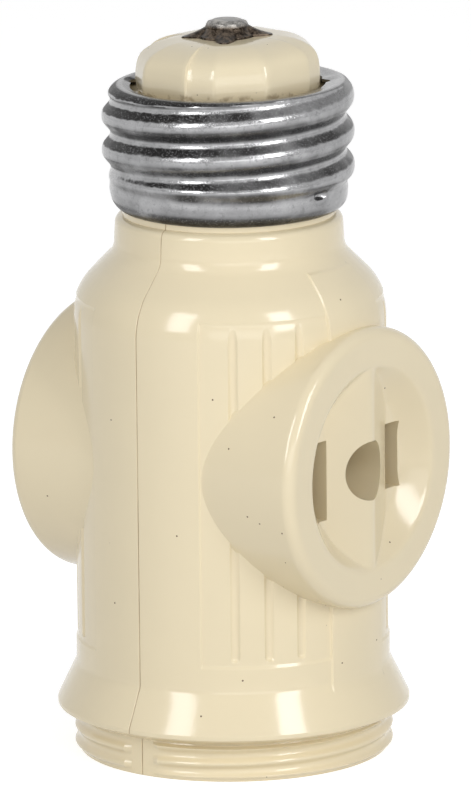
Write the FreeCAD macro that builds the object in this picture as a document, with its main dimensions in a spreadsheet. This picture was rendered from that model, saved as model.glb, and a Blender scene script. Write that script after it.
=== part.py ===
import FreeCAD
import Part
import Sketcher
import os
import re

# Lamp socket adapter: a screw base above, two plug outlets at the sides, a lamp socket below.
# The frame stands on the bottom rim: Z runs up the screw axis, the outlets face +X and -X,
# and the two body halves meet on the plane X = 0. Millimetres throughout.

doc = FreeCAD.newDocument("lamp_socket_adapter")

# Driving dimensions: name, value, meaning
DIMENSIONS = [
    # Body outline
    ("body_wall", 2.7, "wall of the body round the lamp socket"),
    ("rim_step", 0.25, "how far the bottom rim, root of the shade ring thread, lies inside the barrel"),
    ("rim_height", 3.9, "height of the bottom rim up to the skirt"),
    ("skirt_overhang", 2.0, "how far the sharp edge of the skirt stands out of the barrel"),
    ("skirt_rise", 1.0, "rise of the skirt underside"),
    ("skirt_edge", 0.5, "thickness of the skirt edge"),
    ("flare_top", 9.5, "height of the crease above the skirt"),
    ("shoulder_roof", 4.95, "from the foot of the passage up to where shoulder and collar would meet"),
    ("shoulder_round", 5.0, "round between barrel and shoulder"),
    ("collar_step", 0.5, "how far the collar stands out of the rim of the screw base"),
    ("neck_fillet", 1.2, "fillet between shoulder and collar"),
    ("neck_round", 0.75, "rounded upper edge of the collar"),
    ("collar_height", 3.55, "height of the collar over its meeting with the shoulder"),
    # Raised bands, sunk panels and grooves
    ("band_half_angle", 15.5, "half width of the raised band, degrees from the outlet axis"),
    ("band_proud", 0.17, "height of the raised band over the body"),
    ("band_gap", 1.05, "upper crease of the band below the collar"),
    ("band_foot", 0.3, "how far the band reaches down over the flare"),
    ("panel_angle", 50.0, "width of a sunk panel, degrees"),
    ("panel_rise", 2.5, "lower edge of the panels above the flare"),
    ("panel_crown", 1.37, "upper edge of the panels above the start of the shoulder round"),
    ("panel_lean", 30.0, "where a panel floor leaves the shoulder round, degrees"),
    ("panel_depth", 0.15, "depth of the panels"),
    ("panel_ledge", 0.35, "height of the sloped lower ledge of a panel"),
    ("groove_first", 28.0, "first groove, degrees from the outlet axis"),
    ("groove_step", 12.5, "angle between grooves"),
    ("groove_round", 0.8, "radius of the groove section"),
    ("groove_depth", 0.45, "depth of the grooves"),
    ("groove_rise", 0.7, "lower end of the grooves above the panel edge"),
    # Outlets
    ("outlet_stand", 1.7, "how far the outlet face stands out of the barrel"),
    ("boss_radius", 14.7, "radius of the outlet boss"),
    ("boss_round", 1.0, "rounded edge of the outlet face"),
    ("recess_radius", 10.72, "rim of the recess in the face"),
    ("recess_depth", 2.3, "depth of the recess"),
    ("recess_slope", 2.52, "how far the conical recess wall runs in"),
    ("ridge_gap", 0.1, "gap between the foot of the ridge and the slots"),
    ("ridge_drop", 0.05, "how far the ridge lies behind the face"),
    ("blade_spacing", 12.8, "distance between the two slots"),
    ("slot_width", 2.4, "width of both slots"),
    ("narrow_slot", 6.9, "length of the narrow slot"),
    ("narrow_drop", 0.05, "middle of the narrow slot below the outlet axis"),
    ("wide_slot", 8.4, "length of the wide slot"),
    ("wide_drop", 0.5, "middle of the wide slot below the outlet axis"),
    ("hole_depth", 6.8, "depth of the round hole below the recess floor"),
    ("hole_drop", 0.2, "middle of the round hole below the outlet axis"),
    ("pillar_room", 1.05, "room between the clips and the pillar round the round hole"),
    ("pillar_wall", 1.07, "wall of that pillar"),
    ("pillar_gap", 0.4, "gap between the pillar and the neutral strap"),
    # Hollows of the body
    ("socket_gap", 0.2, "gap round the socket shell"),
    ("disc_gap", 0.05, "gap round the insulating disc"),
    ("disc_ledge", 1.0, "ledge that holds the insulating disc down"),
    ("chamber_rise", 11.2, "top of the contact chamber above the outlet axis"),
    ("chimney_taper", 5.5, "height over which the chamber narrows to the passage"),
    ("joint_gap", 0.1, "gap beside straps and rivets"),
    ("overrun", 1.0, "how far cutters and roots reach past the faces that they meet"),
    # Screw base
    ("thread_pitch", 3.629, "pitch of both lamp threads"),
    ("thread_crest", 13.1, "crest radius of the screw base"),
    ("thread_depth", 1.0, "depth of its thread"),
    ("base_step", 0.25, "lowest root above the plain skirt of the screw base"),
    ("base_sheet", 0.3, "sheet of both screw shells"),
    ("base_flare", 0.3, "how far the plain lower skirt stands out of the thread root"),
    ("base_curl", 1.3, "height over which the plain skirt curves in"),
    ("base_curl_round", 2.2, "radius of that curve"),
    ("base_tuck", 0.95, "how far the lower rim is drawn in"),
    ("base_rim_gap", 0.5, "gap between the collar and the lower rim"),
    ("base_crown", 1.16, "top of the screw base above its highest root"),
    ("base_lip", 2.0, "width of the lip turned in at the top, from the thread root"),
    ("base_top_round", 1.1, "round at the top of the screw base"),
    # Insulating cap and centre contact
    ("cap_flange_step", 0.5, "how far the flange of the cap lies inside the stub"),
    ("cap_flange", 1.1, "thickness of the flange"),
    ("cap_play", 0.2, "play of the flange under the lip"),
    ("cap_gap", 0.15, "gap between the cap and the lip"),
    ("cap_corner", 0.45, "how far the rounded corners of the cap stand out of its eight flats"),
    ("cap_side", 0.9, "upright side of the cap above the screw base"),
    ("cap_dome_slack", 3.74, "radius of the dome section over half its chord"),
    ("cap_border", 1.0, "flat top of the dome round the points of the contact plate"),
    ("cap_dome_height", 3.9, "height of the dome over its upright side"),
    ("plate_reach", 4.5, "points of the contact plate from the axis"),
    ("plate_side_round", 5.5, "radius of the hollow sides"),
    ("plate_turn", 36.2, "turn of the contact plate, degrees"),
    ("plate_sheet", 0.5, "sheet of the contact plate"),
    ("contact_shank", 1.3, "shank of the contact rivet"),
    ("contact_foot", 2.6, "foot of the contact button"),
    ("contact_flat", 1.3, "flat of the contact button"),
    ("contact_round", 1.5, "rounded edge of the contact button"),
    ("contact_height", 0.95, "height of the contact button"),
    # Lamp socket
    ("socket_major", 13.2, "inside of the socket thread, at its widest"),
    ("socket_depth", 0.85, "depth of the socket thread"),
    ("socket_first", 3.6, "height of the first wide turn"),
    ("socket_plain", 4.0, "least plain wall of the socket shell above its last wide turn"),
    ("socket_flange_hole", 7.0, "hole in the flange of the socket shell"),
    ("disc_edge", 0.6, "how far the insulating disc reaches into the body wall"),
    ("disc_low", 24.6, "underside of the insulating disc"),
    ("disc_sheet", 1.6, "thickness of the insulating disc"),
    ("tongue_sheet", 0.5, "sheet of the socket contact"),
    ("tongue_drop", 2.2, "middle of the socket contact below the disc"),
    ("tongue_pad", 1.7, "half length of its riveted pad"),
    ("tongue_bend", 0.1, "slant of its bend through the sheet"),
    ("tongue_flat", 1.5, "end of its flat middle, beyond the axis"),
    ("tongue_reach", 4.0, "end of the tongue, beyond the axis"),
    ("tongue_lift", 0.6, "rise of that end"),
    ("tongue_side", 1.0, "shift of the tongue from its rivet towards the axis"),
    # Straps and clips
    ("strap_sheet", 0.8, "sheet of the straps"),
    ("strap_room", 1.1, "room between the pillar and the upright straps"),
    ("chimney_room", 0.35, "room between the upright straps and the wall of the passage"),
    ("strap_edge", 0.2, "edge of the upright straps beside the seam"),
    ("strap_width", 3.0, "width of the upright straps"),
    ("bus_width", 4.0, "width of the slanting straps"),
    ("hot_bus_rise", 5.7, "live slanting strap above the outlet axis"),
    ("riser_near", 3.2, "distance of the live riser from the axis"),
    ("riser_width", 5.0, "width of the live riser"),
    ("clip_sheet", 0.5, "sheet of the clips"),
    ("clip_gap", 1.3, "gap between the leaves of a clip"),
    ("clip_back", 3.5, "back of the clips"),
    ("clip_wall_gap", 0.45, "gap between the tips of the leaves and the chamber wall"),
    ("clip_foot_gap", 0.3, "gap between the rivet heads below and the leaves"),
    ("clip_head_gap", 1.5, "gap between the leaves and the rivet heads above"),
    ("clip_tab", 5.4, "length of the tab of a clip"),
    ("clip_tab_width", 4.2, "width of the tab of a clip"),
    ("clip_rivet_x", 6.2, "distance of the clip rivets from the seam"),
    ("rivet_shank", 0.9, "shank of the small rivets"),
    ("rivet_head", 1.6, "head of the small rivets"),
    ("rivet_head_height", 0.6, "height of the small heads"),
    ("tongue_rivet_x", 2.1, "rivet of the socket contact, from the seam"),
    ("tongue_rivet_y", 3.6, "rivet of the socket contact, along the seam"),
    ("body_rivet_shank", 1.6, "shank of the rivet that holds the halves"),
    ("body_rivet_play", 0.23, "gap round the heads of the rivet that holds the halves"),
    ("body_rivet_head_height", 1.2, "height of its heads"),
]
ALIASES = {name for name, value, meaning in DIMENSIONS}

# Sizes that follow from them, each a formula in the same sheet
DERIVED = [
    ("socket_minor", "socket_major - socket_depth"),
    ("socket_bore", "socket_major + base_sheet + socket_gap"),
    ("body_radius", "socket_bore + body_wall"),
    ("rim_radius", "body_radius - rim_step"),
    ("skirt_radius", "body_radius + skirt_overhang"),
    ("disc_radius", "socket_bore + disc_edge"),
    ("disc_top", "disc_low + disc_sheet"),
    ("tongue_tip", "disc_low - tongue_drop"),
    ("neutral_top", "disc_top + strap_sheet"),
    ("slot_near", "blade_spacing / 2 - slot_width / 2"),
    ("slot_far", "blade_spacing / 2 + slot_width / 2"),
    ("leaf_near", "blade_spacing / 2 - clip_gap / 2 - clip_sheet"),
    ("leaf_far", "blade_spacing / 2 + clip_gap / 2 + clip_sheet"),
    ("pillar_radius", "leaf_near - pillar_room"),
    ("hole_radius", "pillar_radius - pillar_wall"),
    ("body_rivet_head", "hole_radius - body_rivet_play"),
    ("rivet_height", "neutral_top + pillar_gap + pillar_radius"),
    ("outlet_height", "rivet_height + hole_drop"),
    ("outlet_face", "body_radius + outlet_stand"),
    ("recess_floor", "outlet_face - recess_depth"),
    ("recess_floor_radius", "recess_radius - recess_slope"),
    ("ridge_half_width", "slot_near - ridge_gap"),
    ("hole_floor", "recess_floor - hole_depth"),
    ("narrow_middle", "outlet_height - narrow_drop"),
    ("wide_middle", "outlet_height - wide_drop"),
    ("chamber_radius", "disc_radius - disc_ledge"),
    ("chamber_top", "outlet_height + chamber_rise"),
    ("strap_near", "pillar_radius + strap_room"),
    ("strap_far", "strap_near + strap_sheet"),
    ("strap_side", "strap_edge + strap_width"),
    ("chimney_radius", "sqrt((strap_far + chimney_room) ^ 2 + strap_side ^ 2)"),
    ("chimney_low", "chamber_top + chimney_taper"),
    ("collar_low", "chimney_low + shoulder_roof"),
    ("neck_top", "collar_low + collar_height"),
    ("thread_root", "thread_crest - thread_depth"),
    ("base_skirt_radius", "thread_root + base_flare"),
    ("base_rim_radius", "base_skirt_radius - base_tuck"),
    ("base_rim_low", "neck_top + base_rim_gap"),
    ("base_skirt_low", "base_rim_low + base_curl"),
    ("thread_middle", "base_skirt_low + base_step + 1.5 * thread_pitch"),
    ("base_top", "thread_middle + 1.5 * thread_pitch + base_crown"),
    ("base_lip_radius", "thread_root - base_lip"),
    ("neck_radius", "base_rim_radius + collar_step"),
    ("core_radius", "thread_root - base_sheet - joint_gap"),
    ("core_top", "base_top - base_sheet - cap_play - cap_flange"),
    ("shoulder_apex", "neck_radius + collar_low"),
    ("shoulder_centre", "shoulder_apex - body_radius + shoulder_round - sqrt(2) * shoulder_round"),
    ("band_top", "collar_low - band_gap"),
    ("panel_low", "flare_top + panel_rise"),
    ("panel_high", "shoulder_centre + panel_crown"),
    ("groove_low", "panel_low + groove_rise"),
    ("cap_flange_radius", "core_radius - cap_flange_step"),
    ("cap_radius", "base_lip_radius - cap_gap"),
    ("cap_flat", "cap_radius - cap_corner"),
    ("cap_top_radius", "plate_reach + cap_border"),
    ("cap_dome_low", "base_top + cap_side"),
    ("cap_top", "cap_dome_low + cap_dome_height"),
    ("cap_dome_round", "sqrt((cap_radius - cap_top_radius) ^ 2 + cap_dome_height ^ 2) / 2 + cap_dome_slack"),
    ("hot_bus_low", "outlet_height + hot_bus_rise"),
    ("hot_top", "hot_bus_low + strap_sheet"),
    ("clip_front", "sqrt(chamber_radius ^ 2 - leaf_far ^ 2) - clip_wall_gap"),
    ("clip_low", "neutral_top + clip_sheet + rivet_head_height + clip_foot_gap"),
    ("clip_high", "hot_bus_low - clip_sheet - rivet_head_height - clip_head_gap"),
    ("rivet_hole", "rivet_shank + joint_gap / 2"),
    ("contact_hole", "contact_shank + joint_gap / 2"),
]
ALIASES = {entry[0] for entry in DIMENSIONS + DERIVED}
BASE_TURNS = 3
GROOVES = 3

sheet = doc.addObject("Spreadsheet::Sheet", "Sizes")
for row, (name, value, meaning) in enumerate(DIMENSIONS, start=1):
    sheet.set(f"A{row}", meaning)
    sheet.set(f"B{row}", str(value))
    sheet.setAlias(f"B{row}", name)
for row, (name, formula) in enumerate(DERIVED, start=len(DIMENSIONS) + 1):
    sheet.set(f"B{row}", "=" + formula)
    sheet.setAlias(f"B{row}", name)
doc.recompute()


def bound(text):
    """The same formula with every dimension read from the sheet."""
    def from_sheet(word):
        return f"Sizes.{word.group()}" if word.group() in ALIASES else word.group()

    return re.sub(r"[a-z_]+", from_sheet, text)


probe = doc.addObject("App::FeaturePython", "Probe")


def value_of(text):
    """A formula's number, for first places and counts."""
    number = probe.evalExpression(bound(text))
    return float(getattr(number, "Value", number))


def bind(thing, prop, text):
    """Let a property follow a formula."""
    thing.setExpression(prop, bound(text))


def body(name):
    """A PartDesign body whose label is the name of its node."""
    piece = doc.addObject("PartDesign::Body", name)
    piece.Label = name
    return piece


def origin_feature(piece, role):
    return next(item for item in piece.Origin.OriginFeatures if item.Role == role)


def sketch_on(piece, name, role, offset=None, turn=None):
    """A sketch on an origin plane of its own body, moved along its normal or turned about Z."""
    sketch = piece.newObject("Sketcher::SketchObject", name)
    sketch.AttachmentSupport = [(origin_feature(piece, role), "")]
    sketch.MapMode = "FlatFace"
    if offset:
        bind(sketch, "AttachmentOffset.Base.z", offset)
    if turn:
        about_height = FreeCAD.Rotation(FreeCAD.Vector(0, 1, 0), 1)
        sketch.AttachmentOffset = FreeCAD.Placement(FreeCAD.Vector(), about_height)
        bind(sketch, "AttachmentOffset.Rotation.Angle", turn)
    return sketch


def pin_point(sketch, index, end, x_text, y_text):
    """Hold one end of a line or arc at its distances from the sketch axes."""
    for kind, text in (("DistanceX", x_text), ("DistanceY", y_text)):
        place = value_of(text)
        if abs(place) < 1e-9 and text == "0":
            if kind == "DistanceX":
                sketch.addConstraint(Sketcher.Constraint("PointOnObject", index, end, -2))
            else:
                sketch.addConstraint(Sketcher.Constraint("PointOnObject", index, end, -1))
            continue
        held = sketch.addConstraint(Sketcher.Constraint(kind, -1, 1, index, end, place))
        bind(sketch, f"Constraints[{held}]", text)


def outline(sketch, steps):
    """A closed outline. Each step ends at (x, y); a third entry is the radius of an arc that
    leads there, positive where it turns left and negative where it turns right."""
    corners = [(value_of(step[0]), value_of(step[1])) for step in steps]
    first = None
    for number, step in enumerate(steps):
        start = FreeCAD.Vector(*corners[number - 1], 0)
        end = FreeCAD.Vector(*corners[number], 0)
        if len(step) == 2:
            index = sketch.addGeometry(Part.LineSegment(start, end))
            start_end, end_end = 1, 2
        else:
            radius = value_of(step[2])
            half = (end - start) * 0.5
            side = FreeCAD.Vector(-half.y, half.x, 0).normalize()
            rise = max(radius * radius - half.Length ** 2, 0) ** 0.5
            sign = 1 if radius > 0 else -1
            centre = start + half + side * rise * sign
            outward = (start + half - centre).normalize() if rise > 1e-9 else side * -sign
            middle = centre + outward * abs(radius)
            arc = Part.Arc(start, middle, end)
            index = sketch.addGeometry(arc)
            start_end, end_end = (1, 2) if radius > 0 else (2, 1)
            held = sketch.addConstraint(Sketcher.Constraint("Radius", index, abs(radius)))
            size_text = step[2] if radius > 0 else f"-({step[2]})"
            bind(sketch, f"Constraints[{held}]", size_text)
        if first is None:
            first = (index, start_end)
        else:
            sketch.addConstraint(Sketcher.Constraint("Coincident", last[0], last[1], index, start_end))
        last = (index, end_end)
        pin_point(sketch, index, end_end, step[0], step[1])
    sketch.addConstraint(Sketcher.Constraint("Coincident", last[0], last[1], first[0], first[1]))
    return sketch


def circle(sketch, x_text, y_text, radius_text):
    """A circle held by its centre and radius."""
    centre = FreeCAD.Vector(value_of(x_text), value_of(y_text), 0)
    index = sketch.addGeometry(Part.Circle(centre, FreeCAD.Vector(0, 0, 1), value_of(radius_text)))
    held = sketch.addConstraint(Sketcher.Constraint("Radius", index, value_of(radius_text)))
    bind(sketch, f"Constraints[{held}]", radius_text)
    pin_point(sketch, index, 3, x_text, y_text)


def box_outline(sketch, low_x, low_y, high_x, high_y):
    """A rectangle between two corners."""
    outline(sketch, [(low_x, low_y), (high_x, low_y), (high_x, high_y), (low_x, high_y)])


def feature(piece, kind, name, profile, **props):
    """A feature of a body, which has to add or cut something."""
    made = piece.newObject(kind, name)
    made.Profile = profile
    for prop, value in props.items():
        setattr(made, prop, value)
    return made


def extrude(piece, name, profile, length, reverse=False, cut=False, midplane=False):
    """A pad or a pocket of a sketch."""
    made = feature(piece, "PartDesign::Pocket" if cut else "PartDesign::Pad", name, profile)
    made.Reversed = reverse
    made.Midplane = midplane
    bind(made, "Length", length)
    return made


def turned(piece, name, profile, angle="360", axis="V_Axis", reverse=False, cut=False):
    """A revolution or a groove of a sketch."""
    made = feature(piece, "PartDesign::Groove" if cut else "PartDesign::Revolution", name, profile)
    made.ReferenceAxis = (profile, [axis])
    made.Reversed = reverse
    bind(made, "Angle", angle)
    return made


def body_outline():
    """Outside of the body, from the axis out, up and back to the axis."""
    slant = "sqrt(0.5)"
    fillet_height = "shoulder_apex - neck_radius - neck_fillet + sqrt(2) * neck_fillet"
    return [
        ("0", "0"),
        ("rim_radius", "0"),
        ("rim_radius", "rim_height"),
        ("skirt_radius", "rim_height + skirt_rise"),
        ("skirt_radius", "rim_height + skirt_rise + skirt_edge"),
        ("body_radius", "flare_top"),
        ("body_radius", "shoulder_centre"),
        (f"body_radius - shoulder_round + {slant} * shoulder_round",
         f"shoulder_centre + {slant} * shoulder_round", "shoulder_round"),
        (f"neck_radius + neck_fillet - {slant} * neck_fillet",
         f"{fillet_height} - {slant} * neck_fillet"),
        ("neck_radius", fillet_height, "-neck_fillet"),
        ("neck_radius", "neck_top - neck_round"),
        ("neck_radius - neck_round", "neck_top", "neck_round"),
        ("base_rim_radius - base_sheet - joint_gap", "neck_top"),
        ("base_rim_radius - base_sheet - joint_gap", "base_rim_low + 2 * base_sheet"),
        ("core_radius", "base_skirt_low + base_sheet"),
        ("core_radius", "core_top"),
        ("0", "core_top"),
    ]


def hollow_outline():
    """Hollows of the body: socket, seat of the disc, chamber and passage through the neck."""
    return [
        ("0", "-overrun"),
        ("socket_bore", "-overrun"),
        ("socket_bore", "disc_low - disc_gap"),
        ("disc_radius + disc_gap", "disc_low - disc_gap"),
        ("disc_radius + disc_gap", "disc_top + disc_gap"),
        ("chamber_radius", "disc_top + disc_gap"),
        ("chamber_radius", "chamber_top"),
        ("chimney_radius", "chimney_low"),
        ("chimney_radius", "core_top + overrun"),
        ("0", "core_top + overrun"),
    ]


def body_half(name):
    """One moulded half. Both halves are the same moulding, turned half round."""
    half = body(name)
    turned(half, name + "_barrel", outline(sketch_on(half, name + "_section", "YZ_Plane"), body_outline()),
           angle="180", reverse=True)

    # Raised band over the barrel and the shoulder, in line with the outlet
    band = sketch_on(half, name + "_band_section", "XZ_Plane", turn="band_half_angle")
    cone_shift = "sqrt(2) * band_proud"
    outline(band, [
        ("body_radius - overrun", "flare_top - band_foot"),
        ("body_radius + band_proud", "flare_top - band_foot"),
        ("body_radius + band_proud", "shoulder_centre"),
        ("body_radius - shoulder_round + sqrt(0.5) * (shoulder_round + band_proud)",
         "shoulder_centre + sqrt(0.5) * (shoulder_round + band_proud)", "shoulder_round + band_proud"),
        (f"shoulder_apex + {cone_shift} - band_top", "band_top"),
        (f"shoulder_apex + {cone_shift} - band_top - overrun", "band_top - overrun"),
        ("body_radius - 3 * overrun", "shoulder_centre"),
        ("body_radius - overrun", "shoulder_centre - 2 * overrun"),
    ])
    turned(half, name + "_band", band, angle="2 * band_half_angle")

    # Outlet boss
    boss = sketch_on(half, name + "_boss_section", "XZ_Plane")
    outline(boss, [
        ("0", "outlet_height"),
        ("outlet_face", "outlet_height"),
        ("outlet_face", "outlet_height + boss_radius - boss_round"),
        ("outlet_face - boss_round", "outlet_height + boss_radius", "boss_round"),
        ("0", "outlet_height + boss_radius"),
    ])
    add_outlet_axis(boss)
    turned(half, name + "_boss", boss, axis="Axis0")

    # Sunk panel with a sloped lower ledge, and its three round grooves
    panel = sketch_on(half, name + "_panel_section", "XZ_Plane", turn="-band_half_angle")
    outline(panel, [
        ("body_radius", "panel_low"),
        ("body_radius + overrun", "panel_low"),
        ("body_radius + overrun", "panel_high"),
        ("shoulder_apex - panel_high", "panel_high"),
        ("body_radius - shoulder_round + shoulder_round * cos(panel_lean * 1deg) - panel_depth",
         "shoulder_centre + shoulder_round * sin(panel_lean * 1deg)"),
        ("body_radius - panel_depth", "shoulder_centre"),
        ("body_radius - panel_depth", "panel_low + panel_ledge"),
    ])
    panel_cut = turned(half, name + "_panel", panel, angle="panel_angle", reverse=True, cut=True)
    grooves = sketch_on(half, name + "_groove_section", "XY_Plane", offset="groove_low")
    reach = "(body_radius - groove_depth + groove_round)"
    for number in range(GROOVES):
        turn = f"(groove_first + {number} * groove_step)"
        circle(grooves, f"{reach} * cos({turn} * 1deg)", f"{reach} * sin({turn} * 1deg)", "groove_round")
    groove_cut = extrude(half, name + "_grooves", grooves, "chimney_low", reverse=True, cut=True)
    mirrored = half.newObject("PartDesign::Mirrored", name + "_far_panel")
    mirrored.Originals = [panel_cut, groove_cut]
    mirrored.MirrorPlane = (origin_feature(half, "XZ_Plane"), [""])
    half.Tip = mirrored

    # Hollows, then the pillar that carries the round hole and the rivet
    hollow = outline(sketch_on(half, name + "_hollow_section", "YZ_Plane"), hollow_outline())
    turned(half, name + "_hollow", hollow, angle="180", reverse=True, cut=True)
    pillar = sketch_on(half, name + "_pillar_section", "YZ_Plane")
    circle(pillar, "0", "rivet_height", "pillar_radius")
    extrude(half, name + "_pillar", pillar, "recess_floor")

    # Recess in the face, with the ridge across it
    recess = sketch_on(half, name + "_recess_section", "XZ_Plane")
    outline(recess, [
        ("recess_floor", "outlet_height"),
        ("outlet_face + overrun", "outlet_height"),
        ("outlet_face + overrun", "outlet_height + recess_radius"),
        ("outlet_face", "outlet_height + recess_radius"),
        ("recess_floor", "outlet_height + recess_floor_radius"),
    ])
    add_outlet_axis(recess)
    turned(half, name + "_recess", recess, axis="Axis0", cut=True)
    ridge = sketch_on(half, name + "_ridge_section", "XY_Plane", offset="outlet_height")
    outline(ridge, [
        ("recess_floor - overrun", "-ridge_half_width"),
        ("recess_floor", "-ridge_half_width"),
        ("outlet_face - ridge_drop", "0"),
        ("recess_floor", "ridge_half_width"),
        ("recess_floor - overrun", "ridge_half_width"),
    ])
    extrude(half, name + "_ridge", ridge, "2 * recess_radius", midplane=True)

    # Round hole, rivet bore and the two blade slots
    hole = sketch_on(half, name + "_hole_section", "YZ_Plane", offset="hole_floor")
    circle(hole, "0", "rivet_height", "hole_radius")
    extrude(half, name + "_hole", hole, "outlet_face", reverse=True, cut=True)
    bore = sketch_on(half, name + "_bore_section", "YZ_Plane")
    circle(bore, "0", "rivet_height", "body_rivet_shank + joint_gap")
    extrude(half, name + "_bore", bore, "outlet_face", reverse=True, cut=True)
    slots = (("narrow", "", "narrow_middle", "narrow_slot"), ("wide", "-", "wide_middle", "wide_slot"))
    for side, sign, middle, length in slots:
        slot = sketch_on(half, f"{name}_{side}_section", "YZ_Plane", offset="hole_floor")
        box_outline(slot, f"{sign}slot_near", f"{middle} - {length} / 2",
                    f"{sign}slot_far", f"{middle} + {length} / 2")
        extrude(half, f"{name}_{side}_slot", slot, "outlet_face", reverse=True, cut=True)

    # Notch in the top of the stub for the neutral strap
    notch = sketch_on(half, name + "_notch_section", "XY_Plane", offset="core_top")
    box_outline(notch, "strap_edge - joint_gap", "-(core_radius + overrun)",
                "strap_side + joint_gap", "-(strap_near - joint_gap)")
    extrude(half, name + "_notch", notch, "strap_sheet + joint_gap", cut=True)
    return half


def add_outlet_axis(sketch):
    """A construction line along the outlet axis, for features turned about it."""
    height = value_of("outlet_height")
    line = Part.LineSegment(FreeCAD.Vector(0, height, 0), FreeCAD.Vector(1, height, 0))
    index = sketch.addGeometry(line, True)
    sketch.addConstraint(Sketcher.Constraint("Horizontal", index))
    sketch.addConstraint(Sketcher.Constraint("PointOnObject", index, 1, -2))
    sketch.addConstraint(Sketcher.Constraint("DistanceX", index, 1, index, 2, 1))
    held = sketch.addConstraint(Sketcher.Constraint("DistanceY", -1, 1, index, 1, height))
    bind(sketch, f"Constraints[{held}]", "outlet_height")


def screw_waves(first, turns, crest, root, shift, upward=True):
    """Rolled thread in section: arcs from each crest to the next root, as (x, y, radius) steps.
    They run from the root below the first crest to the root above the last."""
    amplitude = f"({crest} - {root})"
    round_text = f"(({amplitude} ^ 2 + (thread_pitch / 2) ^ 2) / (4 * {amplitude}))"
    middle = f"({crest} + {root}) / 2 {shift}"
    steps = []
    for turn in range(turns):
        height = f"{first} + {turn} * thread_pitch"
        steps += [
            (middle, f"{height} - thread_pitch / 4", "-" + round_text),
            (f"{crest} {shift}", height, round_text),
            (middle, f"{height} + thread_pitch / 4", round_text),
            (f"{root} {shift}", f"{height} + thread_pitch / 2", "-" + round_text),
        ]
    if upward:
        return steps
    places = [(f"{root} {shift}", f"{first} - thread_pitch / 2")] + [step[:2] for step in steps]
    radii = [step[2] for step in steps]
    backward = []
    for number in range(len(steps) - 1, -1, -1):
        radius = radii[number]
        turned_round = radius[1:] if radius.startswith("-") else "-" + radius
        backward.append((*places[number], turned_round))
    return backward


right_half = body_half("right_body_half")
left_half = body_half("left_body_half")
half_turn = FreeCAD.Rotation(FreeCAD.Vector(0, 0, 1), 180)
left_half.Placement = FreeCAD.Placement(FreeCAD.Vector(0, 0, 0), half_turn)


def male_screw_shell():
    """Rolled screw base, drawn in at its foot and turned in at its top."""
    shell = body("male_screw_shell")
    first = "thread_middle - thread_pitch"
    low_root = f"{first} - thread_pitch / 2"
    high_root = f"{low_root} + {BASE_TURNS} * thread_pitch"
    inside = "- base_sheet"
    steps = [
        ("base_rim_radius", "base_rim_low"),
        ("base_skirt_radius", "base_skirt_low", "base_curl_round"),
        ("thread_root", low_root),
    ]
    steps += screw_waves(first, BASE_TURNS, "thread_crest", "thread_root", "")
    steps += [
        ("thread_root - base_top_round", "base_top", "base_crown"),
        ("base_lip_radius", "base_top"),
        ("base_lip_radius", "base_top - base_sheet"),
        ("thread_root - base_top_round", "base_top - base_sheet"),
        ("thread_root - base_sheet", high_root, "-base_top_round"),
    ]
    steps += screw_waves(first, BASE_TURNS, "thread_crest", "thread_root", inside, upward=False)
    steps += [
        ("base_skirt_radius - base_sheet", "base_skirt_low"),
        ("base_rim_radius - base_sheet", "base_rim_low", "-base_curl_round"),
    ]
    section = outline(sketch_on(shell, "male_screw_section", "XZ_Plane"), steps)
    turned(shell, "male_screw_shell_turned", section)
    return shell


def insulator_cap():
    """Domed cap with eight flats; its flange is held under the lip of the screw base."""
    cap = body("insulator_cap")
    section = outline(sketch_on(cap, "cap_section", "XZ_Plane"), [
        ("contact_hole", "core_top"),
        ("cap_flange_radius", "core_top"),
        ("cap_flange_radius", "core_top + cap_flange"),
        ("cap_radius", "core_top + cap_flange"),
        ("cap_radius", "cap_dome_low"),
        ("cap_top_radius", "cap_top", "cap_dome_round"),
        ("contact_hole", "cap_top"),
    ])
    turned(cap, "cap_turned", section)
    # Eight flats, cut from the dome above the lip of the shell
    flats = sketch_on(cap, "cap_flats_section", "XY_Plane", offset="base_top - base_sheet / 2")
    circle(flats, "0", "0", "cap_flange_radius")
    corner = "cap_flat / cos(22.5 * 1deg)"
    turns = [22.5 + 45 * number for number in range(8)]
    outline(flats, [(f"{corner} * cos({turn} * 1deg)", f"{corner} * sin({turn} * 1deg)") for turn in turns])
    extrude(cap, "cap_flats", flats, "cap_top", reverse=True, cut=True)
    return cap


def contact_plate():
    """Thin star of four points and hollow sides under the contact button."""
    plate = body("contact_plate")
    outline_steps = []
    for number in range(4):
        turn = f"(plate_turn + {90 * number})"
        outline_steps.append((f"plate_reach * cos({turn} * 1deg)", f"plate_reach * sin({turn} * 1deg)",
                              "-plate_side_round"))
    star = outline(sketch_on(plate, "plate_section", "XY_Plane", offset="cap_top"), outline_steps)
    circle(star, "0", "0", "contact_hole")
    extrude(plate, "plate_sheet_metal", star, "plate_sheet")
    return plate


def contact_rivet():
    """Rivet through cap and live strap, with the contact button as its head."""
    rivet = body("contact_rivet")
    head = "cap_top + plate_sheet"
    foot = "core_top - strap_sheet"
    section = outline(sketch_on(rivet, "contact_rivet_section", "XZ_Plane"), [
        ("0", f"{foot} - rivet_head_height"),
        ("contact_shank + rivet_shank", f"{foot} - rivet_head_height"),
        ("contact_shank + rivet_shank", foot),
        ("contact_shank", foot),
        ("contact_shank", head),
        ("contact_foot", head),
        ("contact_flat", f"{head} + contact_height", "contact_round"),
        ("0", f"{head} + contact_height"),
    ])
    turned(rivet, "contact_rivet_turned", section)
    return rivet


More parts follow.
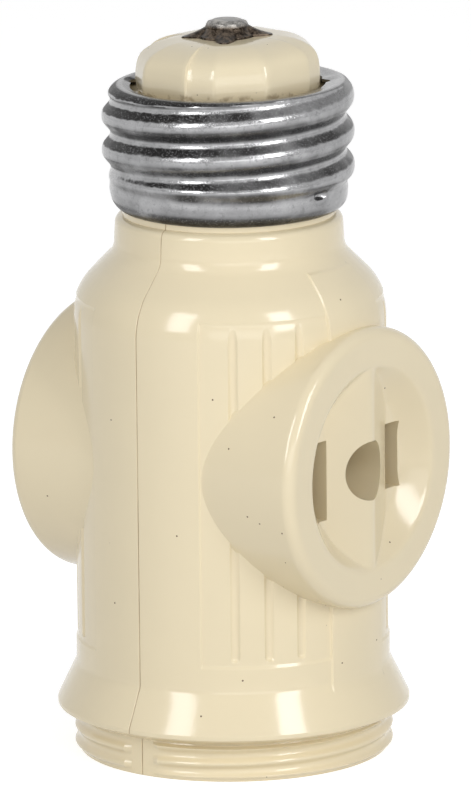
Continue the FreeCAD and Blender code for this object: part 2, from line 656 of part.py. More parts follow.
def socket_shell():
    """Rolled shell that takes the lamp, closed above by a flange under the disc."""
    shell = body("socket_shell")
    turns = int(value_of("(disc_low - socket_plain - socket_first) / thread_pitch + 0.5"))
    last_root = f"socket_first + {turns - 0.5} * thread_pitch"
    low_root = "socket_first - thread_pitch / 2"
    steps = [("socket_minor + base_sheet", low_root)]
    steps += screw_waves("socket_first", turns, "socket_major", "socket_minor", "+ base_sheet")
    steps += [
        ("socket_minor + base_sheet", "disc_low"),
        ("socket_flange_hole", "disc_low"),
        ("socket_flange_hole", "disc_low - base_sheet"),
        ("socket_minor", "disc_low - base_sheet"),
        ("socket_minor", last_root),
    ]
    steps += screw_waves("socket_first", turns, "socket_major", "socket_minor", "", upward=False)
    turned(shell, "socket_shell_turned", outline(sketch_on(shell, "socket_section", "XZ_Plane"), steps))
    cut_holes(shell, "socket_shell_holes", SHELL_RIVETS, "disc_low", "2 * base_sheet")
    return shell


# Places of the small rivets in plan
SHELL_RIVETS = [("clip_rivet_x", "-blade_spacing / 2"), ("-clip_rivet_x", "blade_spacing / 2")]
HOT_RIVETS = [("clip_rivet_x", "blade_spacing / 2"), ("-clip_rivet_x", "-blade_spacing / 2")]
TONGUE_RIVET = [("tongue_rivet_x", "tongue_rivet_y")]


def cut_holes(piece, name, places, top, depth):
    """Rivet holes cut downward from a height."""
    holes = sketch_on(piece, name + "_section", "XY_Plane", offset=top)
    for x_text, y_text in places:
        circle(holes, x_text, y_text, "rivet_hole")
    return extrude(piece, name, holes, depth, cut=True)


def insulating_disc():
    """Fibre disc between the socket and the contact chamber."""
    disc = body("insulating_disc")
    plan = sketch_on(disc, "disc_plan", "XY_Plane", offset="disc_low")
    circle(plan, "0", "0", "disc_radius")
    extrude(disc, "disc_blank", plan, "disc_sheet")
    cut_holes(disc, "disc_holes", SHELL_RIVETS + TONGUE_RIVET, "disc_top", "disc_sheet")
    return disc


def socket_contact():
    """Spring tongue under the disc, bent down to the lamp's centre contact."""
    tongue = body("socket_contact")
    top = "disc_low"
    low = "disc_low - tongue_sheet"
    near_side = "tongue_rivet_x - tongue_side - riser_width / 2"
    section = sketch_on(tongue, "tongue_section", "YZ_Plane", offset=near_side)
    outline(section, [
        ("tongue_rivet_y + tongue_pad", low),
        ("tongue_rivet_y + tongue_pad", top),
        ("tongue_rivet_y - tongue_pad", top),
        ("-tongue_flat", "tongue_tip + tongue_sheet"),
        ("-tongue_reach", "tongue_tip + tongue_sheet + tongue_lift"),
        ("-tongue_reach", "tongue_tip + tongue_lift"),
        ("-tongue_flat", "tongue_tip"),
        ("tongue_rivet_y - tongue_pad - tongue_bend", low),
    ])
    extrude(tongue, "tongue_strip", section, "riser_width")
    cut_holes(tongue, "tongue_hole", TONGUE_RIVET, "disc_low", "2 * tongue_sheet")
    return tongue


def slanting_bar(piece, name, places, low):
    """A strap laid from one clip to the other, as wide as bus_width, with rounded ends."""
    plan = sketch_on(piece, name + "_plan", "XY_Plane", offset=low)
    (ax, ay), (bx, by) = places
    length = f"sqrt(({ax}) ^ 2 + ({ay}) ^ 2)"
    along_x = f"(({ax}) / {length} * bus_width / 2)"
    along_y = f"(({ay}) / {length} * bus_width / 2)"
    outline(plan, [
        (f"{ax} + {along_y}", f"{ay} - {along_x}"),
        (f"{ax} + {along_x}", f"{ay} + {along_y}", "bus_width / 2"),
        (f"{ax} - {along_y}", f"{ay} + {along_x}", "bus_width / 2"),
        (f"{bx} - {along_y}", f"{by} + {along_x}"),
        (f"{bx} - {along_x}", f"{by} - {along_y}", "bus_width / 2"),
        (f"{bx} + {along_y}", f"{by} - {along_x}", "bus_width / 2"),
    ])
    return extrude(piece, name, plan, "strap_sheet")


def plate_box(piece, name, low, high):
    """A flat stretch of strap between two corners given as formulas."""
    plan = sketch_on(piece, name + "_plan", "XY_Plane", offset=low[2])
    box_outline(plan, low[0], low[1], high[0], high[1])
    return extrude(piece, name, plan, f"{high[2]} - ({low[2]})")


def neutral_strap():
    """Joins the screw base, the two wide slots' clips and the socket shell."""
    strap = body("neutral_strap")
    slanting_bar(strap, "neutral_bar", SHELL_RIVETS, "disc_top")
    plate_box(strap, "neutral_foot", ("strap_edge", "-strap_far", "disc_top"),
              ("strap_side", "-strap_width", "neutral_top"))
    plate_box(strap, "neutral_riser", ("strap_edge", "-strap_far", "disc_top"),
              ("strap_side", "-strap_near", "core_top"))
    reach = "-sqrt(core_radius ^ 2 - strap_side ^ 2)"
    plate_box(strap, "neutral_tab", ("strap_edge", reach, "core_top - strap_sheet"),
              ("strap_side", "-strap_near", "core_top"))
    cut_holes(strap, "neutral_holes", SHELL_RIVETS, "neutral_top", "strap_sheet")
    return strap


def hot_strap():
    """Joins the centre contact, the two narrow slots' clips and the socket contact."""
    strap = body("hot_strap")
    slanting_bar(strap, "hot_bar", HOT_RIVETS, "hot_bus_low")
    plate_box(strap, "hot_leg", ("strap_edge", "strap_near", "disc_top"),
              ("strap_side", "strap_far", "hot_top"))
    plate_box(strap, "hot_foot", ("tongue_rivet_x - rivet_shank", "tongue_rivet_y - rivet_head", "disc_top"),
              ("strap_side", "strap_far", "neutral_top"))
    plate_box(strap, "hot_riser", ("riser_near", "-riser_width / 2", "hot_bus_low"),
              ("riser_near + strap_sheet", "riser_width / 2", "core_top"))
    plate_box(strap, "hot_shelf", ("riser_near", "0", "hot_bus_low"),
              ("riser_near + strap_sheet", "riser_width / 2", "hot_top"))
    plate_box(strap, "hot_tab", ("-contact_foot", "-riser_width / 2", "core_top - strap_sheet"),
              ("riser_near", "riser_width / 2", "core_top"))
    cut_holes(strap, "hot_holes", HOT_RIVETS, "hot_top", "strap_sheet")
    cut_holes(strap, "hot_foot_hole", TONGUE_RIVET, "neutral_top", "strap_sheet")
    top_hole = sketch_on(strap, "hot_top_hole_section", "XY_Plane", offset="core_top")
    circle(top_hole, "0", "0", "contact_hole")
    extrude(strap, "hot_top_hole", top_hole, "strap_sheet", cut=True)
    return strap


def clip(name, x_sign, y_sign, hot):
    """A folded clip of two leaves joined at the back, with a tab riveted to its strap."""
    piece = body(name)
    def flip(places):
        return [(x_sign + f"({step[0]})", y_sign + f"({step[1]})") for step in places]

    leaves = sketch_on(piece, name + "_leaves_plan", "XY_Plane", offset="clip_low")
    outline(leaves, flip([
        ("clip_back", "leaf_near"),
        ("clip_front", "leaf_near"),
        ("clip_front", "leaf_near + clip_sheet"),
        ("clip_back + clip_sheet", "leaf_near + clip_sheet"),
        ("clip_back + clip_sheet", "leaf_far - clip_sheet"),
        ("clip_front", "leaf_far - clip_sheet"),
        ("clip_front", "leaf_far"),
        ("clip_back", "leaf_far"),
    ]))
    extrude(piece, name + "_leaves", leaves, "clip_high - clip_low")
    tab_low = "hot_bus_low - clip_sheet" if hot else "neutral_top"
    web_low = "clip_high - clip_sheet" if hot else tab_low
    web = sketch_on(piece, name + "_web_plan", "XY_Plane", offset=web_low)
    outline(web, flip([
        ("clip_back", "leaf_near"), ("clip_back + clip_sheet", "leaf_near"),
        ("clip_back + clip_sheet", "leaf_far"), ("clip_back", "leaf_far"),
    ]))
    web_length = "hot_bus_low - clip_high + clip_sheet" if hot else "clip_low - neutral_top + clip_sheet"
    extrude(piece, name + "_web", web, web_length)
    tab = sketch_on(piece, name + "_tab_plan", "XY_Plane", offset=tab_low)
    outline(tab, flip([
        ("clip_back", "blade_spacing / 2 - clip_tab_width / 2"),
        ("clip_back + clip_tab", "blade_spacing / 2 - clip_tab_width / 2"),
        ("clip_back + clip_tab", "blade_spacing / 2 + clip_tab_width / 2"),
        ("clip_back", "blade_spacing / 2 + clip_tab_width / 2"),
    ]))
    extrude(piece, name + "_tab", tab, "clip_sheet")
    place = [(x_sign + "clip_rivet_x", y_sign + "(blade_spacing / 2)")]
    cut_holes(piece, name + "_hole", place, f"{tab_low} + clip_sheet", "clip_sheet")
    return piece


def rivet(name, place, low, high):
    """Two headed rivet along Z that grips what lies between two heights."""
    pin = body(name)
    section = outline(sketch_on(pin, name + "_section", "XZ_Plane"), [
        ("0", f"{low} - rivet_head_height"),
        ("rivet_head", f"{low} - rivet_head_height"),
        ("rivet_head", low),
        ("rivet_shank", low),
        ("rivet_shank", high),
        ("rivet_head", high),
        ("rivet_head / 2", f"{high} + rivet_head_height"),
        ("0", f"{high} + rivet_head_height"),
    ])
    turned(pin, name + "_turned", section)
    bind(pin, "Placement.Base.x", place[0])
    bind(pin, "Placement.Base.y", place[1])
    return pin


def rivet_group(name, places, low, high):
    """Like rivets that share one node."""
    group = doc.addObject("Part::Compound", name)
    group.Links = [rivet(f"{name}_{number}", place, low, high) for number, place in enumerate(places)]
    group.Label = name
    return group


def body_rivet():
    """Rivet through both halves on the outlet axis, its heads at the bottom of the round holes."""
    pin = body("body_rivet")
    tip = "(hole_floor + body_rivet_head_height)"
    section = outline(sketch_on(pin, "body_rivet_section", "XZ_Plane"), [
        (f"-{tip}", "0"),
        (tip, "0"),
        (tip, "body_rivet_shank"),
        ("hole_floor", "body_rivet_head", "2 * body_rivet_head_height"),
        ("hole_floor", "body_rivet_shank"),
        ("-hole_floor", "body_rivet_shank"),
        ("-hole_floor", "body_rivet_head"),
        (f"-{tip}", "body_rivet_shank", "2 * body_rivet_head_height"),
    ])
    turned(pin, "body_rivet_turned", section, axis="H_Axis")
    bind(pin, "Placement.Base.z", "rivet_height")
    return pin


pieces = [
    right_half,
    left_half,
    male_screw_shell(),
    insulator_cap(),
    contact_plate(),
    contact_rivet(),
    socket_shell(),
    insulating_disc(),
    socket_contact(),
    neutral_strap(),
    hot_strap(),
    clip("neutral_clip_right", "", "-", hot=False),
    clip("neutral_clip_left", "-", "", hot=False),
    clip("hot_clip_right", "", "", hot=True),
    clip("hot_clip_left", "-", "-", hot=True),
    rivet_group("shell_rivets", SHELL_RIVETS, "disc_low - base_sheet", "neutral_top + clip_sheet"),
    rivet_group("hot_rivets", HOT_RIVETS, "hot_bus_low - clip_sheet", "hot_top"),
    rivet("tongue_rivet", TONGUE_RIVET[0], "disc_low - tongue_sheet", "neutral_top"),
    body_rivet(),
]

doc.recompute()
faults = [item.Name for item in doc.Objects if "Invalid" in item.State or "Error" in item.State]
if faults:
    raise RuntimeError("these objects failed: " + ", ".join(faults))
for piece in pieces:
    if piece.Shape.isNull() or not piece.Shape.isValid():
        raise RuntimeError("this piece has no valid shape: " + piece.Label)

os.makedirs("parts", exist_ok=True)
for piece in pieces:
    piece.Shape.exportStep(f"parts/{piece.Label}.step")
    box = piece.Shape.BoundBox
    print(f"{piece.Label}: {len(piece.Shape.Solids)} solids, {piece.Shape.Volume:.1f} mm3, "
          f"z {box.ZMin:.2f} to {box.ZMax:.2f}")
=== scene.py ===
import math
import bmesh
import bpy
import numpy as np
from bpy.props import FloatProperty, FloatVectorProperty, IntProperty, PointerProperty
from bpy.types import Operator, Panel, PropertyGroup
from mathutils import Matrix, Quaternion, Vector


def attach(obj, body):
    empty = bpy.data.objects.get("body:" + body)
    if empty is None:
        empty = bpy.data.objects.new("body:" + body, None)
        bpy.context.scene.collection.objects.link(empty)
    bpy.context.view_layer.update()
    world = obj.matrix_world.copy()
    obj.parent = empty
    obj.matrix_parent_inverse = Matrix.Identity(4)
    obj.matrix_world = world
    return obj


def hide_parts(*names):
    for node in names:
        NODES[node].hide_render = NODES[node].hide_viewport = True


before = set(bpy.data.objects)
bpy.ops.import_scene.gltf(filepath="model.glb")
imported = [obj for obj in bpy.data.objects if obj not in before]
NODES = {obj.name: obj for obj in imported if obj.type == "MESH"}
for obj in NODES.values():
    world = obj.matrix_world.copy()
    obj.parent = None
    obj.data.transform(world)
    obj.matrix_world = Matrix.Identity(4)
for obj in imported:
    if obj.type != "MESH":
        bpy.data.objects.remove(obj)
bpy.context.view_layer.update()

bl_info = {
    "name": "Lamp socket adapter",
    "version": (1, 0, 0),
    "blender": (4, 5, 0),
    "location": "3D View > Sidebar > Adapter",
    "description": "Builds a lamp socket adapter with two plug outlets round its packed frame",
    "category": "Object",
}

MM = 0.001

# Camera fitted to the outline of the object, in millimetres and degrees
VIEW_AZIMUTH = 36.19
VIEW_ELEVATION = 12.625
VIEW_DISTANCE = 1000.0
VIEW_TARGET_HEIGHT = 38.0
VIEW_AIM = (0.543, 0.086, 36.876)
VIEW_ROLL = -0.572
VIEW_LENS = 432.48
VIEW_SENSOR = 36.0

# Waist under the stub and the step up to it, which the screw base clears, in millimetres
WAIST_RADIUS = 11.05
WAIST_TOP = 58.1
STUB_RADIUS = 11.7
STUB_LOW = 59.1
STUB_PLAY = 0.02


# Settings that a user would change

class BodySettings(PropertyGroup):
    """Sizes of the two moulded halves, in millimetres and degrees."""
    rim_radius: FloatProperty(name="Rim radius", description="Root of the shade ring thread", default=16.15)
    rim_height: FloatProperty(name="Rim height", description="Bottom rim up to the skirt", default=3.9)
    skirt_radius: FloatProperty(name="Skirt radius", description="Sharp edge of the skirt", default=18.4)
    skirt_rise: FloatProperty(name="Skirt rise", description="Rise of the skirt underside", default=1.0)
    skirt_edge: FloatProperty(name="Skirt edge", description="Thickness of the skirt edge", default=0.5)
    flare_top: FloatProperty(name="Flare top", description="Height of the crease above the skirt",
                             default=9.5)
    barrel_radius: FloatProperty(name="Barrel radius", description="Radius of the barrel", default=16.4)
    shoulder_apex: FloatProperty(name="Shoulder apex", description="Where the shoulder cone meets the axis",
                                 default=65.15)
    shoulder_round: FloatProperty(name="Shoulder round", description="Round between barrel and shoulder",
                                  default=6.5)
    neck_radius: FloatProperty(name="Collar radius", description="Collar below the screw shell",
                               default=11.95)
    neck_fillet: FloatProperty(name="Collar fillet", description="Fillet under the collar", default=2.2)
    neck_round: FloatProperty(name="Collar round", description="Rounded upper edge of the collar",
                              default=0.88)
    neck_top: FloatProperty(name="Collar top", description="Height of the collar", default=56.8)
    core_radius: FloatProperty(name="Stub radius", description="Stub inside the screw shell",
                               default=STUB_RADIUS)
    core_top: FloatProperty(name="Stub top", description="Height of the stub", default=69.5)
    band_half_angle: FloatProperty(name="Band half width", description="Half width of the band, degrees",
                                   default=15.5)
    band_proud: FloatProperty(name="Band height", description="Height of the raised band", default=0.17)
    band_top: FloatProperty(name="Band top", description="Upper crease of the band", default=52.1)
    panel_end: FloatProperty(name="Panel end", description="Far edge of a panel, degrees", default=65.5)
    panel_low: FloatProperty(name="Panel low", description="Lower edge of the panels", default=12.0)
    panel_high: FloatProperty(name="Panel high", description="Upper edge of the panels", default=48.3)
    panel_depth: FloatProperty(name="Panel depth", description="Depth of the panels", default=0.15)
    groove_first: FloatProperty(name="First groove", description="Angle of the first groove, degrees",
                                default=28.0)
    groove_step: FloatProperty(name="Groove step", description="Angle between grooves, degrees",
                               default=12.5)
    groove_count: IntProperty(name="Grooves", description="Grooves in a panel", default=3)
    groove_round: FloatProperty(name="Groove round", description="Radius of the groove section",
                                default=0.58)
    groove_depth: FloatProperty(name="Groove depth", description="Depth below the barrel", default=0.41)
    seam_round: FloatProperty(name="Seam round", description="Rounded edge of each half at the seam",
                              default=0.12)
    thread_pitch: FloatProperty(name="Rim thread pitch", description="Pitch of the shade ring thread",
                                default=1.65)
    thread_height: FloatProperty(name="Rim thread height", description="Height of that thread", default=0.5)


class OutletSettings(PropertyGroup):
    """Sizes of the outlets, in millimetres."""
    height: FloatProperty(name="Outlet height", description="Height of the outlet axis", default=31.8)
    face: FloatProperty(name="Face distance", description="Face from the screw axis", default=18.1)
    boss_radius: FloatProperty(name="Boss radius", description="Radius of the boss", default=14.7)
    boss_round: FloatProperty(name="Boss round", description="Rounded edge of the face", default=1.2)
    recess_radius: FloatProperty(name="Recess radius", description="Rim of the recess", default=10.72)
    recess_floor: FloatProperty(name="Recess floor", description="Floor from the screw axis", default=15.8)
    recess_foot: FloatProperty(name="Recess foot", description="Foot of the recess wall", default=8.2)
    ridge_half_width: FloatProperty(name="Ridge half width", description="Foot of the ridge", default=5.1)
    ridge_drop: FloatProperty(name="Ridge drop", description="Ridge behind the face", default=0.05)
    slot_middle: FloatProperty(name="Slot distance", description="Middle of a slot from the middle",
                               default=6.4)
    slot_width: FloatProperty(name="Slot width", description="Width of the slots", default=2.4)
    narrow_low: FloatProperty(name="Narrow slot low", description="Lower end of the narrow slot",
                              default=28.3)
    narrow_high: FloatProperty(name="Narrow slot high", description="Upper end of the narrow slot",
                               default=35.2)
    wide_low: FloatProperty(name="Wide slot low", description="Lower end of the wide slot", default=27.1)
    wide_high: FloatProperty(name="Wide slot high", description="Upper end of the wide slot", default=35.5)
    hole_radius: FloatProperty(name="Hole radius", description="Round hole in the ridge", default=3.13)
    hole_height: FloatProperty(name="Hole height", description="Height of the round hole", default=31.6)
    hole_floor: FloatProperty(name="Hole floor", description="Bottom of the hole from the screw axis",
                              default=9.0)
    pillar_radius: FloatProperty(name="Pillar radius", description="Pillar round the rivet", default=4.2)
    bore_radius: FloatProperty(name="Bore radius", description="Bore for the rivet", default=1.7)


class ShellSettings(PropertyGroup):
    """Sizes of the two rolled screw shells, in millimetres."""
    pitch: FloatProperty(name="Pitch", description="Pitch of the lamp thread", default=3.629)
    sheet: FloatProperty(name="Sheet", description="Sheet thickness", default=0.3)
    crest: FloatProperty(name="Crest", description="Crest radius of the screw base", default=13.1)
    root: FloatProperty(name="Root", description="Root radius of the screw base", default=12.2)
    roundness: FloatProperty(name="Roundness", description="How much broader the turns are than the grooves",
                             default=1.35)
    front_crest: FloatProperty(name="Front crest", description="Height of the middle crest at the front",
                               default=64.5)
    skirt_radius: FloatProperty(name="Plain skirt", description="Radius of the plain lower skirt",
                                default=12.4)
    skirt_low: FloatProperty(name="Skirt low", description="Height where the skirt curves in", default=58.72)
    top: FloatProperty(name="Top", description="Top of the screw base", default=70.62)
    top_corner: FloatProperty(name="Top corner", description="Radius at which the rounded edge ends",
                              default=11.4)
    top_round: FloatProperty(name="Top round", description="Rounded upper edge", default=1.4)
    lip_radius: FloatProperty(name="Lip radius", description="Opening in the top", default=10.15)
    dimple_azimuth: FloatProperty(name="Dimple", description="Direction of the staked dimple, degrees",
                                  default=-4.7)
    dimple_height: FloatProperty(name="Dimple height", description="Height of the staked dimple",
                                 default=60.1)
    dimple_depth: FloatProperty(name="Dimple depth", description="Depth of the staked dimple", default=0.42)
    socket_major: FloatProperty(name="Socket major", description="Widest inside radius of the socket",
                                default=13.2)
    socket_minor: FloatProperty(name="Socket minor", description="Narrowest inside radius", default=12.35)
    socket_low: FloatProperty(name="Socket low", description="Lower edge of the socket shell", default=1.8)
    socket_top: FloatProperty(name="Socket top", description="Top of the socket shell", default=24.6)
    socket_hole: FloatProperty(name="Socket hole", description="Hole in its flange", default=7.0)


class CapSettings(PropertyGroup):
    """Sizes of the cap and the centre contact, in millimetres and degrees."""
    crease_azimuth: FloatProperty(name="Crease", description="Direction of the step between lobes",
                                  default=-81.0)
    first_edge: FloatProperty(name="First edge", description="First rounded edge after the step",
                              default=19.3)
    second_edge: FloatProperty(name="Second edge", description="Second rounded edge after the step",
                               default=52.3)
    tilt: FloatProperty(name="Tilt", description="How much the cap sits higher on the right, as a slope",
                        default=0.034)
    edge_round: FloatProperty(name="Edge round", description="Softness of the edges, degrees", default=2.0)
    plate_low: FloatProperty(name="Plate height", description="Height of the ears", default=75.42)
    plate_waist: FloatProperty(name="Plate waist", description="Plate between its ears", default=2.95)
    plate_reach: FloatProperty(name="Plate reach", description="Tips of the ears from the axis",
                               default=4.75)
    boss_radius: FloatProperty(name="Boss radius", description="Where the plate meets the button",
                               default=2.1)
    button_top: FloatProperty(name="Button top", description="Height of the worn top", default=77.15)


class FinishSettings(PropertyGroup):
    """Colours and finish."""
    ivory: FloatVectorProperty(name="Ivory", description="Colour of the moulding",
                               subtype="COLOR", size=3, default=(0.80, 0.695, 0.48))
    cap_ivory: FloatVectorProperty(name="Cap ivory", description="Colour of the cap",
                                   subtype="COLOR", size=3, default=(0.80, 0.70, 0.49))
    nickel: FloatVectorProperty(name="Nickel", description="Colour of the screw base",
                                subtype="COLOR", size=3, default=(0.35, 0.35, 0.355))
    # Darkest nickel colour: the painted dark reflection on the turns, and the darker lower rim
    darkest_nickel: FloatVectorProperty(name="Darkest", description="Colour of the tarnish",
                               subtype="COLOR", size=3, default=(0.022, 0.021, 0.021))
    brass: FloatVectorProperty(name="Brass", description="Colour of the straps and clips",
                               subtype="COLOR", size=3, default=(0.70, 0.50, 0.24))
    fibre: FloatVectorProperty(name="Fibre", description="Colour of the insulating disc",
                               subtype="COLOR", size=3, default=(0.16, 0.08, 0.045))
    # Side towards which the painted shade on the screw base grows heavier
    painted_shade_side: FloatVectorProperty(name="Shaded side", description="Direction of the heaviest tarnish",
                                      subtype="DIRECTION", size=3, default=(-0.81, -0.59, 0.0))
    cap_speck: FloatVectorProperty(name="Cap speck", description="Dark speck on the cap, in millimetres",
                                   subtype="XYZ", size=3, default=(5.8, -5.2, 73.6))
    gloss: FloatProperty(name="Gloss", description="Roughness of the moulding", subtype="FACTOR",
                         default=0.14, min=0, max=1)


class StageSettings(PropertyGroup):
    """Floor, lamps and backdrop, in metres, watts and degrees."""
    lamp_distance: FloatProperty(name="Lamp distance", description="How far the lamps are", unit="LENGTH",
                                 default=0.62)
    lamp_width: FloatProperty(name="Lamp width", description="Width of a softbox", unit="LENGTH",
                              default=0.17)
    lamp_height: FloatProperty(name="Lamp height", description="Height of a softbox", unit="LENGTH",
                               default=0.36)
    lamp_elevation: FloatProperty(name="Lamp elevation", description="Softbox height, degrees", default=28.0)
    left_azimuth: FloatProperty(name="Left lamp", description="Direction of the left softbox, degrees",
                                default=-3.0)
    right_azimuth: FloatProperty(name="Right lamp", description="Direction of the right softbox, degrees",
                                 default=78.0)
    left_power: FloatProperty(name="Left lamp power", description="Power of the left softbox", unit="POWER",
                              default=1.2)
    right_power: FloatProperty(name="Right lamp power", description="Power of the right softbox",
                               unit="POWER", default=1.5)
    room_light: FloatProperty(name="Room light", description="Strength of the even light", default=0.3)
    front_azimuth: FloatProperty(name="Front lamp", description="Direction of the front lamp, degrees",
                                 default=46.0)
    front_elevation: FloatProperty(name="Front lamp elevation", description="Its height, degrees",
                                   default=9.0)
    front_width: FloatProperty(name="Front lamp width", description="Its width", unit="LENGTH", default=0.56)
    front_height: FloatProperty(name="Front lamp height", description="Its height", unit="LENGTH",
                                default=0.18)
    front_power: FloatProperty(name="Front lamp power", description="Its power", unit="POWER", default=0.46)
    floor_glow: FloatProperty(name="Floor glow", description="What lifts the lit floor to white",
                              default=0.62)


SETTINGS = {
    "adapter_body": BodySettings,
    "adapter_outlet": OutletSettings,
    "adapter_shell": ShellSettings,
    "adapter_cap": CapSettings,
    "adapter_finish": FinishSettings,
    "adapter_stage": StageSettings,
}


# Meshes

def make_object(name, points, faces, smooth_angle=25.0):
    """A mesh object from points in millimetres, with edges sharper than the angle left sharp."""
    mesh = bpy.data.meshes.new(name)
    mesh.from_pydata((np.asarray(points, float) * MM).tolist(), [], faces)
    mesh.validate()
    piece = bpy.data.objects.new(name, mesh)
    bpy.context.scene.collection.objects.link(piece)
    shade(piece, smooth_angle)
    return piece


def shade(piece, smooth_angle):
    """Smooth shading, with edges sharper than the angle marked sharp."""
    mesh = piece.data
    work = bmesh.new()
    work.from_mesh(mesh)
    limit = math.radians(smooth_angle)
    for face in work.faces:
        face.smooth = True
    for edge in work.edges:
        if len(edge.link_faces) == 2:
            edge.smooth = edge.calc_face_angle(0.0) < limit
    work.to_mesh(mesh)
    work.free()
    mesh.update()


def grid_faces(rows, columns, closed=False, flip=False):
    """Quads of a grid of points kept row by row."""
    faces = []
    span = columns if closed else columns - 1
    for row in range(rows - 1):
        for column in range(span):
            follow = (column + 1) % columns
            quad = [row * columns + column, row * columns + follow,
                    (row + 1) * columns + follow, (row + 1) * columns + column]
            faces.append(quad[::-1] if flip else quad)
    return faces


def looped_faces(rows, sides):
    """Faces of rings whose last one joins the first."""
    faces = grid_faces(rows, sides, closed=True)
    last = (rows - 1) * sides
    for side in range(sides):
        follow = (side + 1) % sides
        faces.append([last + side, last + follow, follow, side])
    return faces


def capped_faces(rows, sides, flip=False):
    """Faces of rings closed by two fans, whose middle points follow the rings."""
    faces = grid_faces(rows, sides, closed=True, flip=flip)
    first, last = rows * sides, rows * sides + 1
    end = (rows - 1) * sides
    for side in range(sides):
        follow = (side + 1) % sides
        a, b = (side, follow) if flip else (follow, side)
        faces.append([first, a, b])
        faces.append([last, end + b, end + a])
    return faces


def around(radius, turn, height):
    """Points at a distance from the screw axis, an azimuth and a height."""
    parts = np.broadcast_arrays(radius * np.cos(turn), radius * np.sin(turn), height)
    return np.stack(parts, -1)


def lathe(name, profile, sides, axis="Z", middle=(0, 0, 0), smooth_angle=25.0):
    """A solid turned about an axis, from a profile that starts and ends on the axis."""
    angles = np.linspace(0, 2 * math.pi, sides, endpoint=False)
    points = [(r * math.cos(a), r * math.sin(a), z) for r, z in profile[1:-1] for a in angles]
    points = np.array(points + [(0, 0, profile[0][1]), (0, 0, profile[-1][1])], float)
    if axis == "X":
        points = points[:, [2, 0, 1]]
    points += np.asarray(middle, float)
    return make_object(name, points, capped_faces(len(profile) - 2, sides), smooth_angle)


def box_solid(name, low, high):
    """A plain box, used only to cut with."""
    (ax, ay, az), (bx, by, bz) = low, high
    points = [(x, y, z) for z in (az, bz) for y in (ay, by) for x in (ax, bx)]
    faces = [[0, 2, 3, 1], [4, 5, 7, 6], [0, 1, 5, 4], [2, 6, 7, 3], [0, 4, 6, 2], [1, 3, 7, 5]]
    return make_object(name, points, faces)


def combine(piece, tool, operation):
    """One boolean step. The tool is used up."""
    step = piece.modifiers.new("step", "BOOLEAN")
    step.operation = operation
    step.solver = "MANIFOLD"
    step.object = tool
    shape = bpy.data.meshes.new_from_object(piece.evaluated_get(bpy.context.evaluated_depsgraph_get()))
    piece.modifiers.clear()
    old = piece.data
    piece.data = shape
    bpy.data.meshes.remove(old)
    bpy.data.objects.remove(tool)


def place(piece, material, node):
    """Finish a piece: its material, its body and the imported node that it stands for."""
    piece.data.materials.clear()
    piece.data.materials.append(material)
    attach(piece, "root")
    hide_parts(node)


def arc(centre, radius, first, last, steps):
    """Points of an arc in the (r, z) plane, angles in degrees."""
    turns = np.radians(np.linspace(first, last, steps))
    return [(centre[0] + radius * math.cos(turn), centre[1] + radius * math.sin(turn)) for turn in turns]


def line(start, end, step):
    """Points of a line without its last point, no further apart than the step."""
    count = max(1, math.ceil(math.dist(start, end) / step))
    return [(start[0] + (end[0] - start[0]) * i / count, start[1] + (end[1] - start[1]) * i / count)
            for i in range(count)]


def ramp(values, low, high):
    """0 below low, 1 above high, smooth between."""
    share = np.clip((np.asarray(values, float) - low) / (high - low), 0, 1)
    return share * share * (3 - 2 * share)


def soft_max(a, b, width):
    """The larger of two values, with a rounded change over."""
    share = np.clip(0.5 + (a - b) / (2 * width), 0, 1)
    return b + (a - b) * share + width * share * (1 - share)


def soft_min(a, b, width):
    """The smaller of two values, with a rounded change over."""
    return -soft_max(-a, -b, width)


# Body halves

def barrel_profile(body):
    """Outer outline of the body from the bottom rim to the stub, as (r, z) in millimetres."""
    edge = 0.15
    rim, barrel, skirt = body.rim_radius, body.barrel_radius, body.skirt_radius
    skirt_low = body.rim_height + body.skirt_rise
    skirt_high = skirt_low + body.skirt_edge
    round_r = barrel - body.shoulder_round
    round_z = body.shoulder_apex - barrel + body.shoulder_round - math.sqrt(2) * body.shoulder_round
    fillet_r = body.neck_radius + body.neck_fillet
    fillet_z = body.shoulder_apex - body.neck_radius - body.neck_fillet + math.sqrt(2) * body.neck_fillet
    cone_end = (fillet_r - body.neck_fillet * math.sqrt(0.5), fillet_z - body.neck_fillet * math.sqrt(0.5))
    collar_r = body.neck_radius - 0.1
    crease = (barrel + 0.12, body.flare_top - 0.25)

    # Rim and skirt
    points = line((13.0, 0), (rim - edge, 0), 1.5)
    points += arc((rim - edge, edge), edge, -90, 0, 4)
    points += line((rim, edge + 0.1), (rim, body.rim_height), 0.11)
    points += line((rim, body.rim_height), (skirt - 0.1, skirt_low - 0.06), 0.5)
    points += arc((skirt - edge, skirt_low + edge * 0.75), edge, -60, 0, 4)
    points += arc((skirt - edge, skirt_high - edge * 0.5), edge, 0, 26, 4)
    points += line(points[-1], crease, 0.6)[1:]

    # Barrel, with close lines where the panels and grooves begin
    points += [crease, (barrel + 0.03, body.flare_top)]
    points += line((barrel, body.flare_top + 0.25), (barrel, body.panel_low - 0.2), 0.8)
    points += line((barrel, body.panel_low - 0.2), (barrel, body.panel_low + 1.3), 0.075)
    points += line((barrel, body.panel_low + 1.3), (barrel, round_z), 1.1)

    # Shoulder, collar, waist and stub
    points += arc((round_r, round_z), body.shoulder_round, 0, 45, 26)
    points += line(points[-1], cone_end, 0.18)[1:]
    points += arc((fillet_r, fillet_z), body.neck_fillet, 225, 180, 10)
    points += line((body.neck_radius, fillet_z + 0.2), (collar_r, body.neck_top - body.neck_round), 0.5)
    points += arc((collar_r - body.neck_round, body.neck_top - body.neck_round), body.neck_round, 0, 90, 9)
    points += [(WAIST_RADIUS, body.neck_top), (WAIST_RADIUS, WAIST_TOP), (body.core_radius, STUB_LOW)]
    points += [(body.core_radius, body.core_top), (5.0, body.core_top)]
    return np.array(points)


